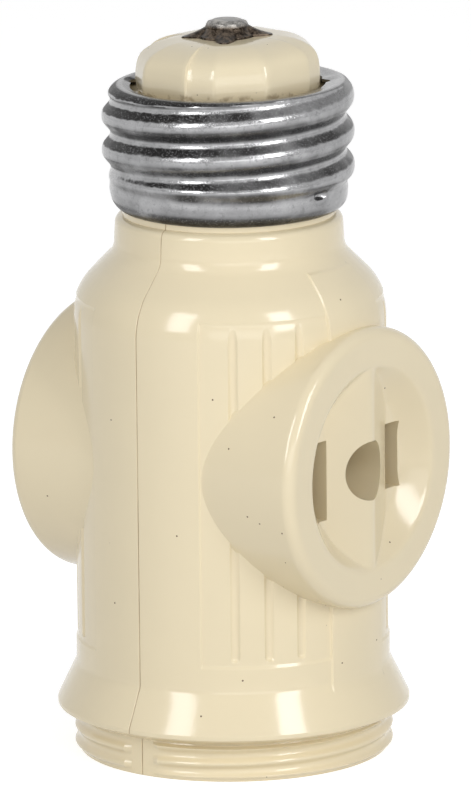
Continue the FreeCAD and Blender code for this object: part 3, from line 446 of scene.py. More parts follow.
def barrel_columns(body):
    """Azimuths of the barrel's grid lines from one seam to the other, close together at every edge."""
    seam = math.degrees(body.seam_round / body.barrel_radius)
    lines = set(np.linspace(0, 90, 37))
    for edge in (body.band_half_angle, body.panel_end):
        lines |= set(edge + np.array([-0.55, -0.35, -0.2, -0.07, 0.07, 0.2, 0.35, 0.55]))
    for number in range(body.groove_count):
        centre = body.groove_first + number * body.groove_step
        offsets = np.array([0.0, 0.35, 0.7, 1.05, 1.35, 1.6, 1.85, 2.05, 2.2, 2.35, 2.55, 3.0])
        lines |= set(centre + offsets) | set(centre - offsets)
    lines |= set(90 - seam * np.array([0.0, 0.08, 0.25, 0.5, 0.75, 1.0, 1.6]))
    ordered = sorted(lines)
    kept = [ordered[0]]
    for angle in ordered[1:]:
        if angle - kept[-1] > 0.03:
            kept.append(angle)
    kept[-1] = 90.0
    half = np.array(kept)
    return np.concatenate([-half[:0:-1], half])


def barrel_points(body):
    """Points of the barrel's outside, with band, panels, grooves, seam edge and rim thread."""
    profile = barrel_profile(body)
    columns = barrel_columns(body)
    tangent = np.gradient(profile, axis=0)
    tangent /= np.linalg.norm(tangent, axis=1)[:, None]
    normal = np.stack([tangent[:, 1], -tangent[:, 0]], 1)
    z = profile[:, 1][:, None]
    turn = np.abs(columns)[None, :]
    outside = (profile[:, 0] > 11.8)[:, None] & (z > 5.5)

    past_band = ramp(turn, body.band_half_angle - 0.35, body.band_half_angle + 0.35)
    in_band = 1 - past_band
    band_rise = (ramp(z, body.flare_top - 0.6, body.flare_top - 0.1)
                 * (1 - ramp(z, body.band_top - 0.1, body.band_top + 0.3)))
    in_panel = past_band * (1 - ramp(turn, body.panel_end - 0.4, body.panel_end + 0.4))
    panel_rise = (np.clip((z - body.panel_low) / 0.35, 0, 1)
                  * (1 - ramp(z, body.panel_high - 0.1, body.panel_high + 0.1)))
    lift = outside * (body.band_proud * in_band * band_rise - body.panel_depth * in_panel * panel_rise)
    radius = profile[:, 0][:, None] + normal[:, 0][:, None] * lift
    height = z + normal[:, 1][:, None] * lift

    cutter = body.barrel_radius - body.groove_depth + body.groove_round
    slope = 1 - ramp(z, body.panel_low + 0.35, body.panel_low + 1.05)
    for number in range(body.groove_count):
        centre = body.groove_first + number * body.groove_step
        away = np.radians(turn - centre)
        inside = np.clip(body.groove_round ** 2 - (cutter * np.sin(away)) ** 2, 0, None)
        near = np.where(np.abs(cutter * np.sin(away)) < body.groove_round,
                        cutter * np.cos(away) - np.sqrt(inside), 99.0)
        floor = near + slope * (body.groove_depth + 0.1)
        use = (z > body.panel_low) & (z < body.band_top)
        radius = np.where(use, soft_min(radius, floor, 0.05), radius)

    # Fine thread of the rim, fading out beside the seam
    turns = (height - 0.6) / body.thread_pitch - columns[None, :] / 360
    ridge = 0.5 + 0.5 * np.cos(2 * math.pi * turns)
    fade = (1 - ramp(turn, 82.5, 85.5)) * ramp(z, 0.15, 0.7)
    fade = fade * (1 - ramp(z, body.rim_height - 0.35, body.rim_height - 0.05))
    on_rim = (profile[:, 0] > body.rim_radius - 0.05)[:, None] & (z < body.rim_height)
    radius = radius + on_rim * fade * body.thread_height * ridge ** 1.3

    # Rounded edge at the seam
    away = np.radians(90 - turn) * body.barrel_radius
    inside = np.clip(body.seam_round - away, 0, body.seam_round)
    drop = body.seam_round - np.sqrt(body.seam_round ** 2 - inside ** 2)
    radius = radius - drop * (profile[:, 0] > 11.0)[:, None]

    points = around(radius, np.radians(columns)[None, :], height)
    points[:, 0, 0] = 0
    points[:, -1, 0] = 0
    return points


def barrel_solid(body):
    """Half a barrel, closed along the axis and flat on the seam plane."""
    points = barrel_points(body)
    rows, columns = points.shape[:2]
    faces = grid_faces(rows, columns)
    flat = points.reshape(-1, 3)
    low, high = len(flat), len(flat) + 1
    flat = np.vstack([flat, [0, 0, points[0, 0, 2]], [0, 0, points[-1, 0, 2]]])
    last = (rows - 1) * columns
    for column in range(columns - 1):
        faces.append([low, column + 1, column])
        faces.append([high, last + column, last + column + 1])
    right_edge = [row * columns for row in range(rows)]
    left_edge = [row * columns + columns - 1 for row in range(rows)]
    faces.append([low] + right_edge + [high] + left_edge[::-1])
    return make_object("right_body", flat, faces)


def outlet_face(outlet, across, up):
    """Distance of the outlet face from the screw axis, across and up from its centre."""
    away = np.hypot(across, up)
    depth = outlet.face - outlet.recess_floor
    foot = outlet.recess_foot - 0.3
    share = np.clip((away - foot) / (outlet.recess_radius - foot), 0, 1.3)
    wall = outlet.recess_floor + depth * share ** 1.15
    slope = (depth - outlet.ridge_drop) / outlet.ridge_half_width
    crest = np.sqrt(across ** 2 + 0.35 ** 2) - 0.35
    ridge = outlet.face - outlet.ridge_drop - slope * crest
    inner = soft_max(wall, ridge, 0.12)
    return soft_min(inner, np.full_like(inner, outlet.face), 0.22)


def boss_solid(outlet):
    """The outlet boss, closed at its back inside the barrel."""
    sides = 224
    rings = list(np.arange(0.35, 7.0, 0.33)) + list(np.arange(7.0, 11.0, 0.16)) + [11.3, 11.9, 12.6, 13.2]
    angles = np.linspace(0, 2 * math.pi, sides, endpoint=False)
    points = []
    for ring in rings:
        across, up = ring * np.cos(angles), ring * np.sin(angles)
        points.append(np.stack([outlet_face(outlet, across, up), across, up], 1))
    corner = (outlet.boss_radius - outlet.boss_round, outlet.face - outlet.boss_round)
    wall = [(outlet.boss_radius, x) for x in np.arange(outlet.face - 2.0, 5.5, -1.0)]
    for radius, x in arc(corner, outlet.boss_round, 90, 0, 10) + wall:
        points.append(np.stack([np.full(sides, x), radius * np.cos(angles), radius * np.sin(angles)], 1))
    centre = float(outlet_face(outlet, np.zeros(1), np.zeros(1))[0])
    flat = np.concatenate(points + [np.array([[centre, 0, 0], [points[-1][0, 0], 0, 0]])])
    flat[:, 2] += outlet.height
    return make_object("boss", flat, capped_faces(len(points), sides, flip=True))


def hollow_profile():
    """Hollows of the body: bore of the rim, seat of the disc, chamber with its cone, and throat."""
    bore, seat, chamber, throat = 13.7, 14.35, 13.3, 7.2
    seat_low, seat_high, cone_low, cone_high = 24.55, 26.25, 43.0, 48.5
    below, above = -1.0, 70.5
    return [(0, below), (bore, below), (bore, seat_low), (seat, seat_low), (seat, seat_high),
            (chamber, seat_high), (chamber, cone_low), (throat, cone_high), (throat, above), (0, above)]


def body_mesh(body, outlet):
    """The right half: barrel and boss, hollowed, with pillar, slots, hole and bore."""
    half = barrel_solid(body)
    combine(half, boss_solid(outlet), "UNION")
    combine(half, lathe("hollow", hollow_profile(), 160), "DIFFERENCE")
    beyond = outlet.face + 2
    rods = (
        ("pillar", outlet.pillar_radius, 0, outlet.recess_floor - 0.5, 64, "UNION"),
        ("hole", outlet.hole_radius, outlet.hole_floor, beyond, 128, "DIFFERENCE"),
        ("bore", outlet.bore_radius, -1, outlet.hole_floor + 1, 48, "DIFFERENCE"),
    )
    for name, radius, start, end, sides, operation in rods:
        profile = [(0, start), (radius, start), (radius, end), (0, end)]
        combine(half, lathe(name, profile, sides, "X", (0, 0, outlet.hole_height)), operation)
    near = outlet.slot_middle - outlet.slot_width / 2
    far = outlet.slot_middle + outlet.slot_width / 2
    cuts = (
        ("narrow_slot", (8, near, outlet.narrow_low), (beyond, far, outlet.narrow_high)),
        ("wide_slot", (8, -far, outlet.wide_low), (beyond, -near, outlet.wide_high)),
        ("strap_notch", (0.1, -13, 68.6), (3.3, -5.2, 70.5)),
    )
    for name, low, high in cuts:
        combine(half, box_solid(name, low, high), "DIFFERENCE")
    shade(half, 22.0)
    return half


class ADAPTER_OT_body_halves(Operator):
    """Builds both moulded halves with their outlets, panels and rim thread"""
    bl_idname = "adapter.body_halves"
    bl_label = "Body Halves"

    def execute(self, context):
        scene = context.scene
        material = ivory_material("ivory_moulding", scene.adapter_finish.ivory, scene.adapter_finish)
        right = body_mesh(scene.adapter_body, scene.adapter_outlet)
        left = bpy.data.objects.new("left_body", right.data.copy())
        scene.collection.objects.link(left)
        left.data.transform(Matrix.Rotation(math.pi, 4, "Z"))
        place(right, material, "right_body_half")
        place(left, material, "left_body_half")
        return {"FINISHED"}


# Screw shells

def shell_wave(shell, height, turn, middle, low, high):
    """Share of the thread's depth, 0 to 1, for a rolled right-handed thread that runs out at its ends."""
    phase = (height - middle) / shell.pitch - turn / (2 * math.pi)
    wave = 1 - (0.5 - 0.5 * np.cos(2 * math.pi * phase)) ** shell.roundness
    fade = ramp(height, low[0], low[1]) * (1 - ramp(height, high[0], high[1]))
    return wave * fade


def sheet_solid(name, outer, inner, sides, smooth_angle=30.0):
    """A sheet between two grids of points that share their first and last rows' places."""
    both = np.concatenate([outer, inner[::-1]])
    return make_object(name, both.reshape(-1, 3), looped_faces(len(both), sides), smooth_angle)


def along_right(turn):
    """1 on the side that is to the right of the camera, -1 on the left."""
    return np.cos(turn - math.radians(VIEW_AZIMUTH))


def screw_base_mesh(shell):
    """The rolled screw base: curled rim, plain skirt, helical thread, turned-in lip with its notches."""
    sides = 240
    turn = np.linspace(-math.pi, math.pi, sides, endpoint=False)[None, :]
    front = math.radians(VIEW_AZIMUTH - 90)
    curl_round = 1.5
    rim = arc((shell.skirt_radius - curl_round, shell.skirt_low + 0.1), curl_round, -70, 0, 10)
    flat_top = shell.top - shell.top_round
    heights = np.array([z for r, z in rim] + list(np.arange(shell.skirt_low + 0.2, flat_top - 0.03, 0.13)))
    z = heights[:, None]
    corner = shell.top_corner + 0.3 * along_right(turn)

    def rolled(z):
        """Outer radius of the turns, of the plain skirt below them and of the rounded edge above."""
        radius = shell.skirt_radius + (shell.root - shell.skirt_radius) * ramp(z, 59.3, 61.2)
        # The lowest turn fades out from the right to the left, and comes back round the far side
        side = (turn - front + math.pi) % (2 * math.pi) - math.pi
        back = np.sign(side) * (math.pi - np.abs(side)) * 2
        along = np.where(np.abs(side) < math.pi * 2 / 3, side, back) / math.pi
        low_fade = ramp(z, 59.6 - 0.9 * along, 61.6 - 1.1 * along)
        wave = shell_wave(shell, z, turn - front, shell.front_crest, (57.0, 57.1),
                          (shell.top + 1, shell.top + 2))
        radius = radius + (shell.crest - radius) * wave * low_fade
        share = np.clip((z - flat_top) / shell.top_round, 0, 1)
        limit = corner + shell.top_round * np.sqrt(1 - share ** 2) + 0.8 * np.clip(flat_top - z, 0, None)
        return soft_min(radius, limit, 0.15)

    radius = rolled(z)
    radius[:len(rim)] += (np.array([r for r, z in rim]) - shell.skirt_radius)[:, None]
    radius = radius - (0.22 - 0.14 * along_right(turn)) * ramp(z, 60.0, 57.6)

    # Staked dimple, with a raised edge on both sides of it
    across = (turn - math.radians(shell.dimple_azimuth)) * shell.skirt_radius
    up = z - shell.dimple_height
    dent = np.exp(-(across / 0.78) ** 4 - (up / 0.40) ** 4)
    burr = np.exp(-((across - 1.15) / 0.30) ** 2 - (up / 0.40) ** 2)
    fold = np.exp(-((across + 1.05) / 0.30) ** 2 - ((up + 0.1) / 0.3) ** 2)
    radius = radius - shell.dimple_depth * dent + 0.20 * burr + 0.12 * fold

    # Rounded edge and lip, with two notches and a tab in its opening
    curl = np.radians(np.linspace(6, 90, 13))[:, None]
    curl_z = flat_top + shell.top_round * np.sin(curl) + 0 * turn
    curl_r = rolled(curl_z)
    lip = np.array([0.75, 0.5, 0.25, 0.1, 0.0])[:, None]
    azimuth = np.degrees(turn)
    notch = np.exp(-((azimuth + 160) / 5.0) ** 4) + np.exp(-((azimuth - 38) / 3.2) ** 4)
    tab = np.exp(-((azimuth - 46) / 2.6) ** 4)
    edge = shell.lip_radius + 0.45 * notch - 0.25 * tab
    lip_r = lip * (corner - edge) + edge
    lip_z = shell.top - 0.28 * (1 - lip) + 0 * turn
    outer_r = np.vstack([radius, curl_r, lip_r])
    outer_z = np.vstack([z + 0 * turn, curl_z, lip_z])

    # Inside of the sheet, which is thinner where it would touch the stub
    stub = np.interp(z, [WAIST_TOP, STUB_LOW], [WAIST_RADIUS + STUB_PLAY, STUB_RADIUS + STUB_PLAY])
    inside = np.minimum(np.maximum(radius - shell.sheet, stub), radius - 0.1)
    inner_r = np.vstack([inside, curl_r - shell.sheet * np.cos(curl), lip_r])
    inner_z = np.vstack([z + 0 * turn, curl_z - shell.sheet * np.sin(curl), lip_z - shell.sheet])
    lean = 0.003 * np.clip(outer_z - 66, 0, None) * outer_r * along_right(turn)
    outer, inner = around(outer_r, turn, outer_z + lean), around(inner_r, turn, inner_z + lean)
    return sheet_solid("screw_base", outer, inner, sides)


def socket_mesh(shell):
    """The socket's rolled shell with its flange under the insulating disc."""
    sides = 144
    turn = np.linspace(-math.pi, math.pi, sides, endpoint=False)[None, :]
    z = np.arange(shell.socket_low, shell.socket_top - 1.2, 0.24)[:, None]
    wave = shell_wave(shell, z, turn, 5.0, (0.0, 0.1), (21.0, 22.8))
    inside = shell.socket_minor + (shell.socket_major - shell.socket_minor) * wave
    flange = np.linspace(shell.socket_minor, shell.socket_hole, 6)[:, None] + 0 * turn
    inner_r = np.vstack([inside, flange])
    inner_z = np.vstack([z + 0 * turn, np.full_like(flange, shell.socket_top - shell.sheet)])
    outer_flange = np.vstack([flange[:1] + shell.sheet, flange[1:]])
    outer_r = np.vstack([inside + shell.sheet, outer_flange])
    outer_z = np.vstack([z + 0 * turn, np.full_like(flange, shell.socket_top)])
    return sheet_solid("lamp_socket", around(outer_r, turn, outer_z), around(inner_r, turn, inner_z), sides)


class ADAPTER_OT_screw_shells(Operator):
    """Builds the screw base and the lamp socket as helical rolled shells"""
    bl_idname = "adapter.screw_shells"
    bl_label = "Screw Shells"

    def execute(self, context):
        shell = context.scene.adapter_shell
        finish = context.scene.adapter_finish
        worn = nickel_material("worn_nickel", finish)
        place(screw_base_mesh(shell), worn, "male_screw_shell")
        place(socket_mesh(shell), nickel_material("socket_nickel", finish), "socket_shell")
        return {"FINISHED"}


# Cap and centre contact

def cap_mesh(cap):
    """Moulded cap: four lobes, each with a narrow, a front and a broad face, and a step between lobes."""
    # Height of each ring, and its radius at the narrow face, at both edges and at the end of the broad face
    rings = [
        (69.55, 9.26, 9.30, 9.24), (70.25, 9.32, 9.64, 9.58), (71.2, 9.34, 9.70, 9.64),
        (72, 9.28, 9.66, 9.62), (72.8, 9.14, 9.54, 9.56), (73.3, 8.98, 9.38, 9.46),
        (73.72, 8.74, 9.14, 9.28), (74.08, 8.40, 8.80, 8.98), (74.4, 7.95, 8.32, 8.54),
        (74.7, 7.37, 7.75, 8.00), (74.98, 6.62, 7.00, 7.25), (75.2, 5.80, 6.15, 6.41),
        (75.31, 5.02, 5.30, 5.56), (75.34, 4.24, 4.50, 4.72), (75.34, 3.62, 3.80, 3.87),
        (75.34, 2.90, 3.00, 2.98), (75.34, 2.07, 2.00, 1.99),
    ]
    sides = 360
    degrees = np.arange(sides) + 0.5
    within = (degrees - cap.crease_azimuth) % 90
    corners = np.array([0.0, cap.first_edge, cap.second_edge, 90.0])
    points = []
    for height, narrow, edge, broad in rings:
        radii = np.array([narrow, edge, edge, broad])
        xs = radii * np.cos(np.radians(corners))
        ys = radii * np.sin(np.radians(corners))
        span = np.clip(np.searchsorted(corners, within, side="right") - 1, 0, 2)
        dx, dy = xs[span + 1] - xs[span], ys[span + 1] - ys[span]
        ray_x, ray_y = np.cos(np.radians(within)), np.sin(np.radians(within))
        radius = (xs[span] * dy - ys[span] * dx) / (ray_x * dy - ray_y * dx)
        weights = np.exp(-(np.arange(-7, 8) / cap.edge_round) ** 2)
        weights /= weights.sum()
        wrapped = np.concatenate([radius[-7:], radius, radius[:7]])
        smooth = np.convolve(wrapped, weights, mode="valid")
        near_step = np.minimum(within, 90 - within)
        keep = np.clip(1 - near_step / 5, 0, 1)
        radius = smooth * (1 - keep) + (radius * 0.7 + smooth * 0.3) * keep
        angle = np.radians(degrees)
        tilt = cap.tilt * radius * along_right(angle) * min((height - rings[0][0]) / 2, 1)
        points.append(around(radius, angle, height + tilt))
    flat = np.concatenate(points + [np.array([[0, 0, rings[0][0]], [0, 0, rings[-1][0]]])])
    return make_object("cap", flat, capped_faces(len(rings), sides), 40.0)


def contact_plate_mesh(cap):
    """Drawn contact plate: a flared boss with four ears let into the top of the cap."""
    sides = 160
    sheet = 0.12
    turn = np.linspace(-math.pi, math.pi, sides, endpoint=False)
    front = math.radians(VIEW_AZIMUTH - 90)
    ear = np.clip(np.cos(4 * (turn - front) + 0.25), 0, 1) ** 1.6
    reach = cap.plate_waist + (cap.plate_reach - cap.plate_waist) * ear
    rows = []
    for share in (1.0, 0.97, 0.9, 0.8, 0.7, 0.6, 0.5, 0.4, 0.3, 0.2, 0.1, 0.0):
        radius = cap.boss_radius + (reach - cap.boss_radius) * share
        settle = np.interp(radius, [2.6, 3.95, 4.6, 5.2], [0.04, 0.02, -0.08, -0.22])
        rise = settle + sheet + 0.95 * (1 - share) ** 1.8 - sheet * (share > 0.98)
        tilt = cap.tilt * radius * along_right(turn)
        rows.append(around(radius, turn, cap.plate_low + rise + tilt))
    return sheet_solid("contact_plate", np.stack(rows), np.stack(rows) - (0, 0, sheet), sides, 40.0)


def contact_button_mesh(cap):
    """Head of the contact rivet, worn flat on top, and its shank down to the live strap."""
    head = cap.plate_low + 1.0
    top = cap.button_top
    profile = [(0, 68.2), (2.1, 68.2), (2.1, 68.7), (1.3, 68.7), (1.3, 74.9), (2.2, head - 0.12),
               (2.24, head), (2.18, head + 0.2), (2.04, head + 0.45), (1.88, top - 0.36), (1.7, top - 0.17),
               (1.5, top - 0.06), (1.3, top - 0.02), (0.7, top), (0, top)]
    return lathe("contact_button", profile, 72, smooth_angle=50.0)


class ADAPTER_OT_cap_contact(Operator):
    """Builds the insulating cap and the centre contact"""
    bl_idname = "adapter.cap_contact"
    bl_label = "Cap and Contact"

    def execute(self, context):
        cap = context.scene.adapter_cap
        finish = context.scene.adapter_finish
        place(cap_mesh(cap), cap_material(finish), "insulator_cap")
        contact = tarnished_contact()
        place(contact_plate_mesh(cap), contact, "contact_plate")
        place(contact_button_mesh(cap), contact, "contact_rivet")
        return {"FINISHED"}


# Materials

IVORY_IOR = 1.54
SEAM_DIRT = (0.30, 0.19, 0.09, 1)
SPECK = (0.16, 0.10, 0.06, 1)
LIP_DARKENING = (0.20, 0.13, 0.07, 1)
DARK_MARK = (0.05, 0.035, 0.025, 1)
CONTACT_TARNISH = ((0.016, 0.012, 0.009, 1), (0.13, 0.10, 0.075, 1))
CONTACT_WORN_AND_HIGHLIGHT = ((0.13, 0.125, 0.12, 1), (0.40, 0.385, 0.36, 1))
RIVET_COLOUR = (0.16, 0.14, 0.12)


def node_group(name, inputs, outputs):
    """An empty shader group with named sockets."""
    group = bpy.data.node_groups.new(name, "ShaderNodeTree")
    for kind, label, default in inputs:
        socket = group.interface.new_socket(label, in_out="INPUT", socket_type=kind)
        if default is not None:
            socket.default_value = default
    for kind, label in outputs:
        group.interface.new_socket(label, in_out="OUTPUT", socket_type=kind)
    return group, group.nodes.new("NodeGroupInput"), group.nodes.new("NodeGroupOutput")


class Wiring:
    """Short names for the few kinds of node the materials are made of."""

    def __init__(self, tree):
        self.nodes = tree.nodes
        self.links = tree.links
        self.place = self.nodes.new("ShaderNodeTexCoord")

    def noise(self, scale, detail=3.0, rough=0.6):
        """Cloudy noise over the surface."""
        made = self.nodes.new("ShaderNodeTexNoise")
        for label, number in (("Scale", scale), ("Detail", detail), ("Roughness", rough)):
            made.inputs[label].default_value = number
        self.links.new(self.place.outputs["Object"], made.inputs["Vector"])
        return made.outputs["Fac"]

    def spread(self, value, low, high, to_low=0.0, to_high=1.0):
        """A value moved smoothly from one range to another."""
        made = self.nodes.new("ShaderNodeMapRange")
        made.interpolation_type = "SMOOTHSTEP"
        for label, number in (("From Min", low), ("From Max", high), ("To Min", to_low), ("To Max", to_high)):
            made.inputs[label].default_value = number
        self.links.new(value, made.inputs["Value"])
        return made.outputs["Result"]

    def calculate(self, operation, first, second):
        """One operation on two values or sockets."""
        made = self.nodes.new("ShaderNodeMath")
        made.operation = operation
        for index, value in enumerate((first, second)):
            if isinstance(value, float):
                made.inputs[index].default_value = value
            else:
                self.links.new(value, made.inputs[index])
        return made.outputs[0]

    def times(self, first, second):
        """The product of two values or sockets."""
        return self.calculate("MULTIPLY", first, second)

    def plus(self, first, second):
        """The sum of two values or sockets."""
        return self.calculate("ADD", first, second)

    def blend(self, share, first, second):
        """The first colour where the share is 0, the second where it is 1."""
        made = self.nodes.new("ShaderNodeMixRGB")
        self.links.new(share, made.inputs["Fac"])
        for label, value in (("Color1", first), ("Color2", second)):
            if isinstance(value, tuple):
                made.inputs[label].default_value = value
            else:
                self.links.new(value, made.inputs[label])
        return made.outputs["Color"]

    def parts(self, label):
        """X, Y and Z of a texture coordinate."""
        made = self.nodes.new("ShaderNodeSeparateXYZ")
        self.links.new(self.place.outputs[label], made.inputs[0])
        return made.outputs["X"], made.outputs["Y"], made.outputs["Z"]

    def along(self, vector):
        """Position along a direction, in metres."""
        made = self.nodes.new("ShaderNodeVectorMath")
        made.operation = "DOT_PRODUCT"
        made.inputs[1].default_value = vector
        self.links.new(self.place.outputs["Object"], made.inputs[0])
        return made.outputs["Value"]

    def spot(self, centre, reach, edge):
        """1 within a distance of a point in millimetres, 0 beyond a soft edge."""
        made = self.nodes.new("ShaderNodeVectorMath")
        made.operation = "DISTANCE"
        made.inputs[1].default_value = [c * MM for c in centre]
        self.links.new(self.place.outputs["Object"], made.inputs[0])
        return self.spread(made.outputs["Value"], reach * MM, (reach + edge) * MM, 1.0, 0.0)

    def bump(self, height, strength, distance, shader):
        """Relief on a shader's normal."""
        made = self.nodes.new("ShaderNodeBump")
        made.inputs["Strength"].default_value = strength
        made.inputs["Distance"].default_value = distance
        self.links.new(height, made.inputs["Height"])
        self.links.new(made.outputs["Normal"], shader.inputs["Normal"])


def tint(colour, share):
    """A colour made lighter or darker."""
    return (*[min(c * share, 1) for c in colour], 1)


def speckle_group():
    """Small dark specks and soft dirt, as masks over the surface."""
    if "specks" in bpy.data.node_groups:
        return bpy.data.node_groups["specks"]
    group, start, end = node_group(
        "specks",
        [("NodeSocketFloat", "Speck Scale", 400.0), ("NodeSocketFloat", "Speck Size", 0.12)],
        [("NodeSocketFloat", "Specks"), ("NodeSocketFloat", "Cloud")])
    web = Wiring(group)
    cells = group.nodes.new("ShaderNodeTexVoronoi")
    web.links.new(web.place.outputs["Object"], cells.inputs["Vector"])
    web.links.new(start.outputs["Speck Scale"], cells.inputs["Scale"])
    chance = web.calculate("GREATER_THAN", cells.outputs["Color"], 0.72)
    near = web.calculate("LESS_THAN", cells.outputs["Distance"], start.outputs["Speck Size"])
    web.links.new(web.times(chance, near), end.inputs["Specks"])
    web.links.new(web.noise(60.0, 4.0), end.inputs["Cloud"])
    return group


def specks(web, scale, size):
    """The speck and dirt masks, placed in a material."""
    dirt = web.nodes.new("ShaderNodeGroup")
    dirt.node_tree = speckle_group()
    dirt.inputs["Speck Scale"].default_value = scale
    dirt.inputs["Speck Size"].default_value = size
    return dirt.outputs["Specks"], dirt.outputs["Cloud"]


def new_material(name):
    """A material with its tree and its Principled shader."""
    material = bpy.data.materials.new(name)
    material.use_nodes = True
    return material, material.node_tree, material.node_tree.nodes["Principled BSDF"]


def ivory_material(name, colour, finish):
    """Glossy ivory moulding with a soft variation of tone and a few dark specks."""
    material, tree, shader = new_material(name)
    web = Wiring(tree)
    dots, cloud = specks(web, 640.0, 0.062)
    tone = web.blend(cloud, tint(colour, 0.96), tint(colour, 1.03))
    seam = web.spread(web.calculate("ABSOLUTE", web.parts("Object")[0], 0.0), 0.00002, 0.00010, 0.55, 0.0)
    seam = web.times(seam, web.spread(web.noise(160.0), 0.35, 0.6, 0.45, 1.0))
    tone = web.blend(seam, tone, SEAM_DIRT)
    web.links.new(web.blend(dots, tone, SPECK), shader.inputs["Base Color"])
    shader.inputs["Roughness"].default_value = finish.gloss
    shader.inputs["IOR"].default_value = IVORY_IOR
    skin = web.plus(web.noise(260.0, 2.0), web.times(web.noise(1500.0, 3.0), 0.12))
    web.bump(skin, 0.10, 0.0002, shader)
    return material


def cap_material(finish):
    """Ivory of the cap, darker and browner along the lip of the screw base, with a few dark marks."""
    material, tree, shader = new_material("cap_ivory")
    web = Wiring(tree)
    dots, cloud = specks(web, 900.0, 0.08)
    tone = web.blend(cloud, tint(finish.cap_ivory, 0.94), tint(finish.cap_ivory, 1.03))
    height = web.parts("Object")[2]
    # Darker towards the lip of the screw base, in a noisy band and a soft fade
    edge = web.times(web.spread(height, 0.0711, 0.0704), web.spread(web.noise(700.0, 4.0), 0.42, 0.62))
    soft = web.times(web.spread(height, 0.0722, 0.0705), 0.16)
    dirt = web.calculate("MAXIMUM", web.times(edge, 0.6), soft)
    lip_darkened = web.blend(dirt, tone, LIP_DARKENING)
    mark = web.calculate("MAXIMUM", web.spot(finish.cap_speck, 0.22, 0.16), dots)
    web.links.new(web.blend(mark, lip_darkened, DARK_MARK), shader.inputs["Base Color"])
    shader.inputs["Roughness"].default_value = finish.gloss
    shader.inputs["IOR"].default_value = IVORY_IOR
    web.bump(web.noise(300.0, 3.0), 0.10, 0.0003, shader)
    return material


def nickel_material(name, finish):
    """Worn nickel plate: painted dark reflection, speckled with pits, on the upper and lower flanks of the
    turns, painted shade on faces turned down, and a darker lower rim.
    """
    material, tree, shader = new_material(name)
    web = Wiring(tree)
    upward = web.parts("Normal")[2]
    level = web.parts("Object")[2]

    # Painted dark reflection on the upper and lower flanks of the turns, in patches, with painted shade
    # making it heaviest on one side
    # Painted shade: the dark bands grow heavier towards one side of the screw base
    painted_side_shade = web.spread(web.along(finish.painted_shade_side), -0.002, 0.011)
    ragged = web.plus(upward, web.spread(web.noise(1300.0, 5.0, 0.75), 0.3, 0.7, -0.06, 0.06))
    upper = web.times(web.spread(ragged, 0.42, 0.58), web.spread(upward, 0.90, 0.99, 1.0, 0.25))
    uneven = web.spread(web.noise(170.0, 3.0), 0.36, 0.6, 0.35, 1.0)
    lower = web.times(web.spread(upward, -0.22, -0.45), web.times(uneven, 0.72))
    flank_reflection = web.calculate("MAXIMUM", upper, lower)
    patches = web.spread(web.noise(130.0), 0.34, 0.58)
    amount = web.plus(web.times(patches, 0.45), 0.52)
    amount = web.plus(amount, web.times(painted_side_shade, 0.40))
    grains = web.spread(web.noise(5200.0, 2.0, 0.8), 0.53, 0.66)
    # Mask of the painted dark reflection in pitted dark colour, chosen by the way each face turns
    painted_dark_reflection = web.calculate("MINIMUM", web.times(flank_reflection, amount), 1.0)

    # Darker along the lower rim, mottle and stains of the plate, and painted shade on faces turned down
    rim_patchiness = web.spread(web.noise(900.0, 4.0), 0.35, 0.6, 0.35, 1.0)
    rim = web.times(web.spread(level, 0.05830, 0.05760), rim_patchiness)
    mottle = web.spread(web.noise(420.0, 5.0, 0.7), 0.3, 0.7)
    stains = web.times(web.spread(web.noise(1900.0, 3.0, 0.7), 0.54, 0.66), 0.40)

    plate = web.blend(mottle, tint(finish.nickel, 0.84), tint(finish.nickel, 1.14))
    # Painted shade: faces turned downwards are darker
    under = web.times(web.spread(upward, 0.12, -0.40, 0.0, 0.74), uneven)
    plate = web.blend(under, plate, tint(finish.nickel, 0.30))
    plate = web.blend(stains, plate, tint(finish.nickel, 0.42))
    speckled = web.blend(grains, tint(finish.darkest_nickel, 1.0), tint(finish.nickel, 0.45))
    worn = web.blend(painted_dark_reflection, plate, speckled)
    web.links.new(web.blend(rim, worn, tint(finish.darkest_nickel, 1.0)), shader.inputs["Base Color"])
    shader.inputs["Metallic"].default_value = 1.0
    rough = web.plus(web.times(painted_dark_reflection, 0.26), web.times(mottle, 0.08))
    web.links.new(web.plus(rough, 0.13), shader.inputs["Roughness"])
    height = web.plus(web.noise(1500.0), web.times(grains, 0.4))
    height = web.plus(height, web.times(web.noise(330.0, 2.0), 0.8))
    web.bump(height, 0.24, 0.00006, shader)
    return material


def tarnished_contact():
    """Dark tarnished metal, worn pale on top of the button, with a painted highlight where the ears face up.
    """
    material, tree, shader = new_material("contact_metal")
    web = Wiring(tree)
    upward = web.parts("Normal")[2]
    level = web.parts("Object")[2]
    top = web.spread(level, 0.0764, 0.0769)
    # Painted highlight: the ears are paler where they face up; the pale top of the button is wear
    ears = web.times(web.spread(level, 0.0755, 0.0751), web.spread(upward, 0.6, 0.95))
    worn = web.calculate("MAXIMUM", top, web.times(ears, 0.55))
    grains = web.spread(web.noise(1600.0, 5.0, 0.75), 0.38, 0.64)
    dark = web.blend(grains, *CONTACT_TARNISH)
    pale = web.blend(grains, *CONTACT_WORN_AND_HIGHLIGHT)
    web.links.new(web.blend(worn, dark, pale), shader.inputs["Base Color"])
    shader.inputs["Metallic"].default_value = 1.0
    web.links.new(web.spread(grains, 0.0, 1.0, 0.30, 0.48), shader.inputs["Roughness"])
    web.bump(web.noise(1400.0, 4.0), 0.35, 0.0001, shader)
    return material


def plain_metal(name, colour, roughness):
    """Sheet metal with cloudy tarnished patches."""
    material, tree, shader = new_material(name)
    web = Wiring(tree)
    cloud = specks(web, 400.0, 0.1)[1]
    web.links.new(web.blend(cloud, tint(colour, 0.6), tint(colour, 1.0)), shader.inputs["Base Color"])
    shader.inputs["Metallic"].default_value = 1.0
    shader.inputs["Roughness"].default_value = roughness
    return material


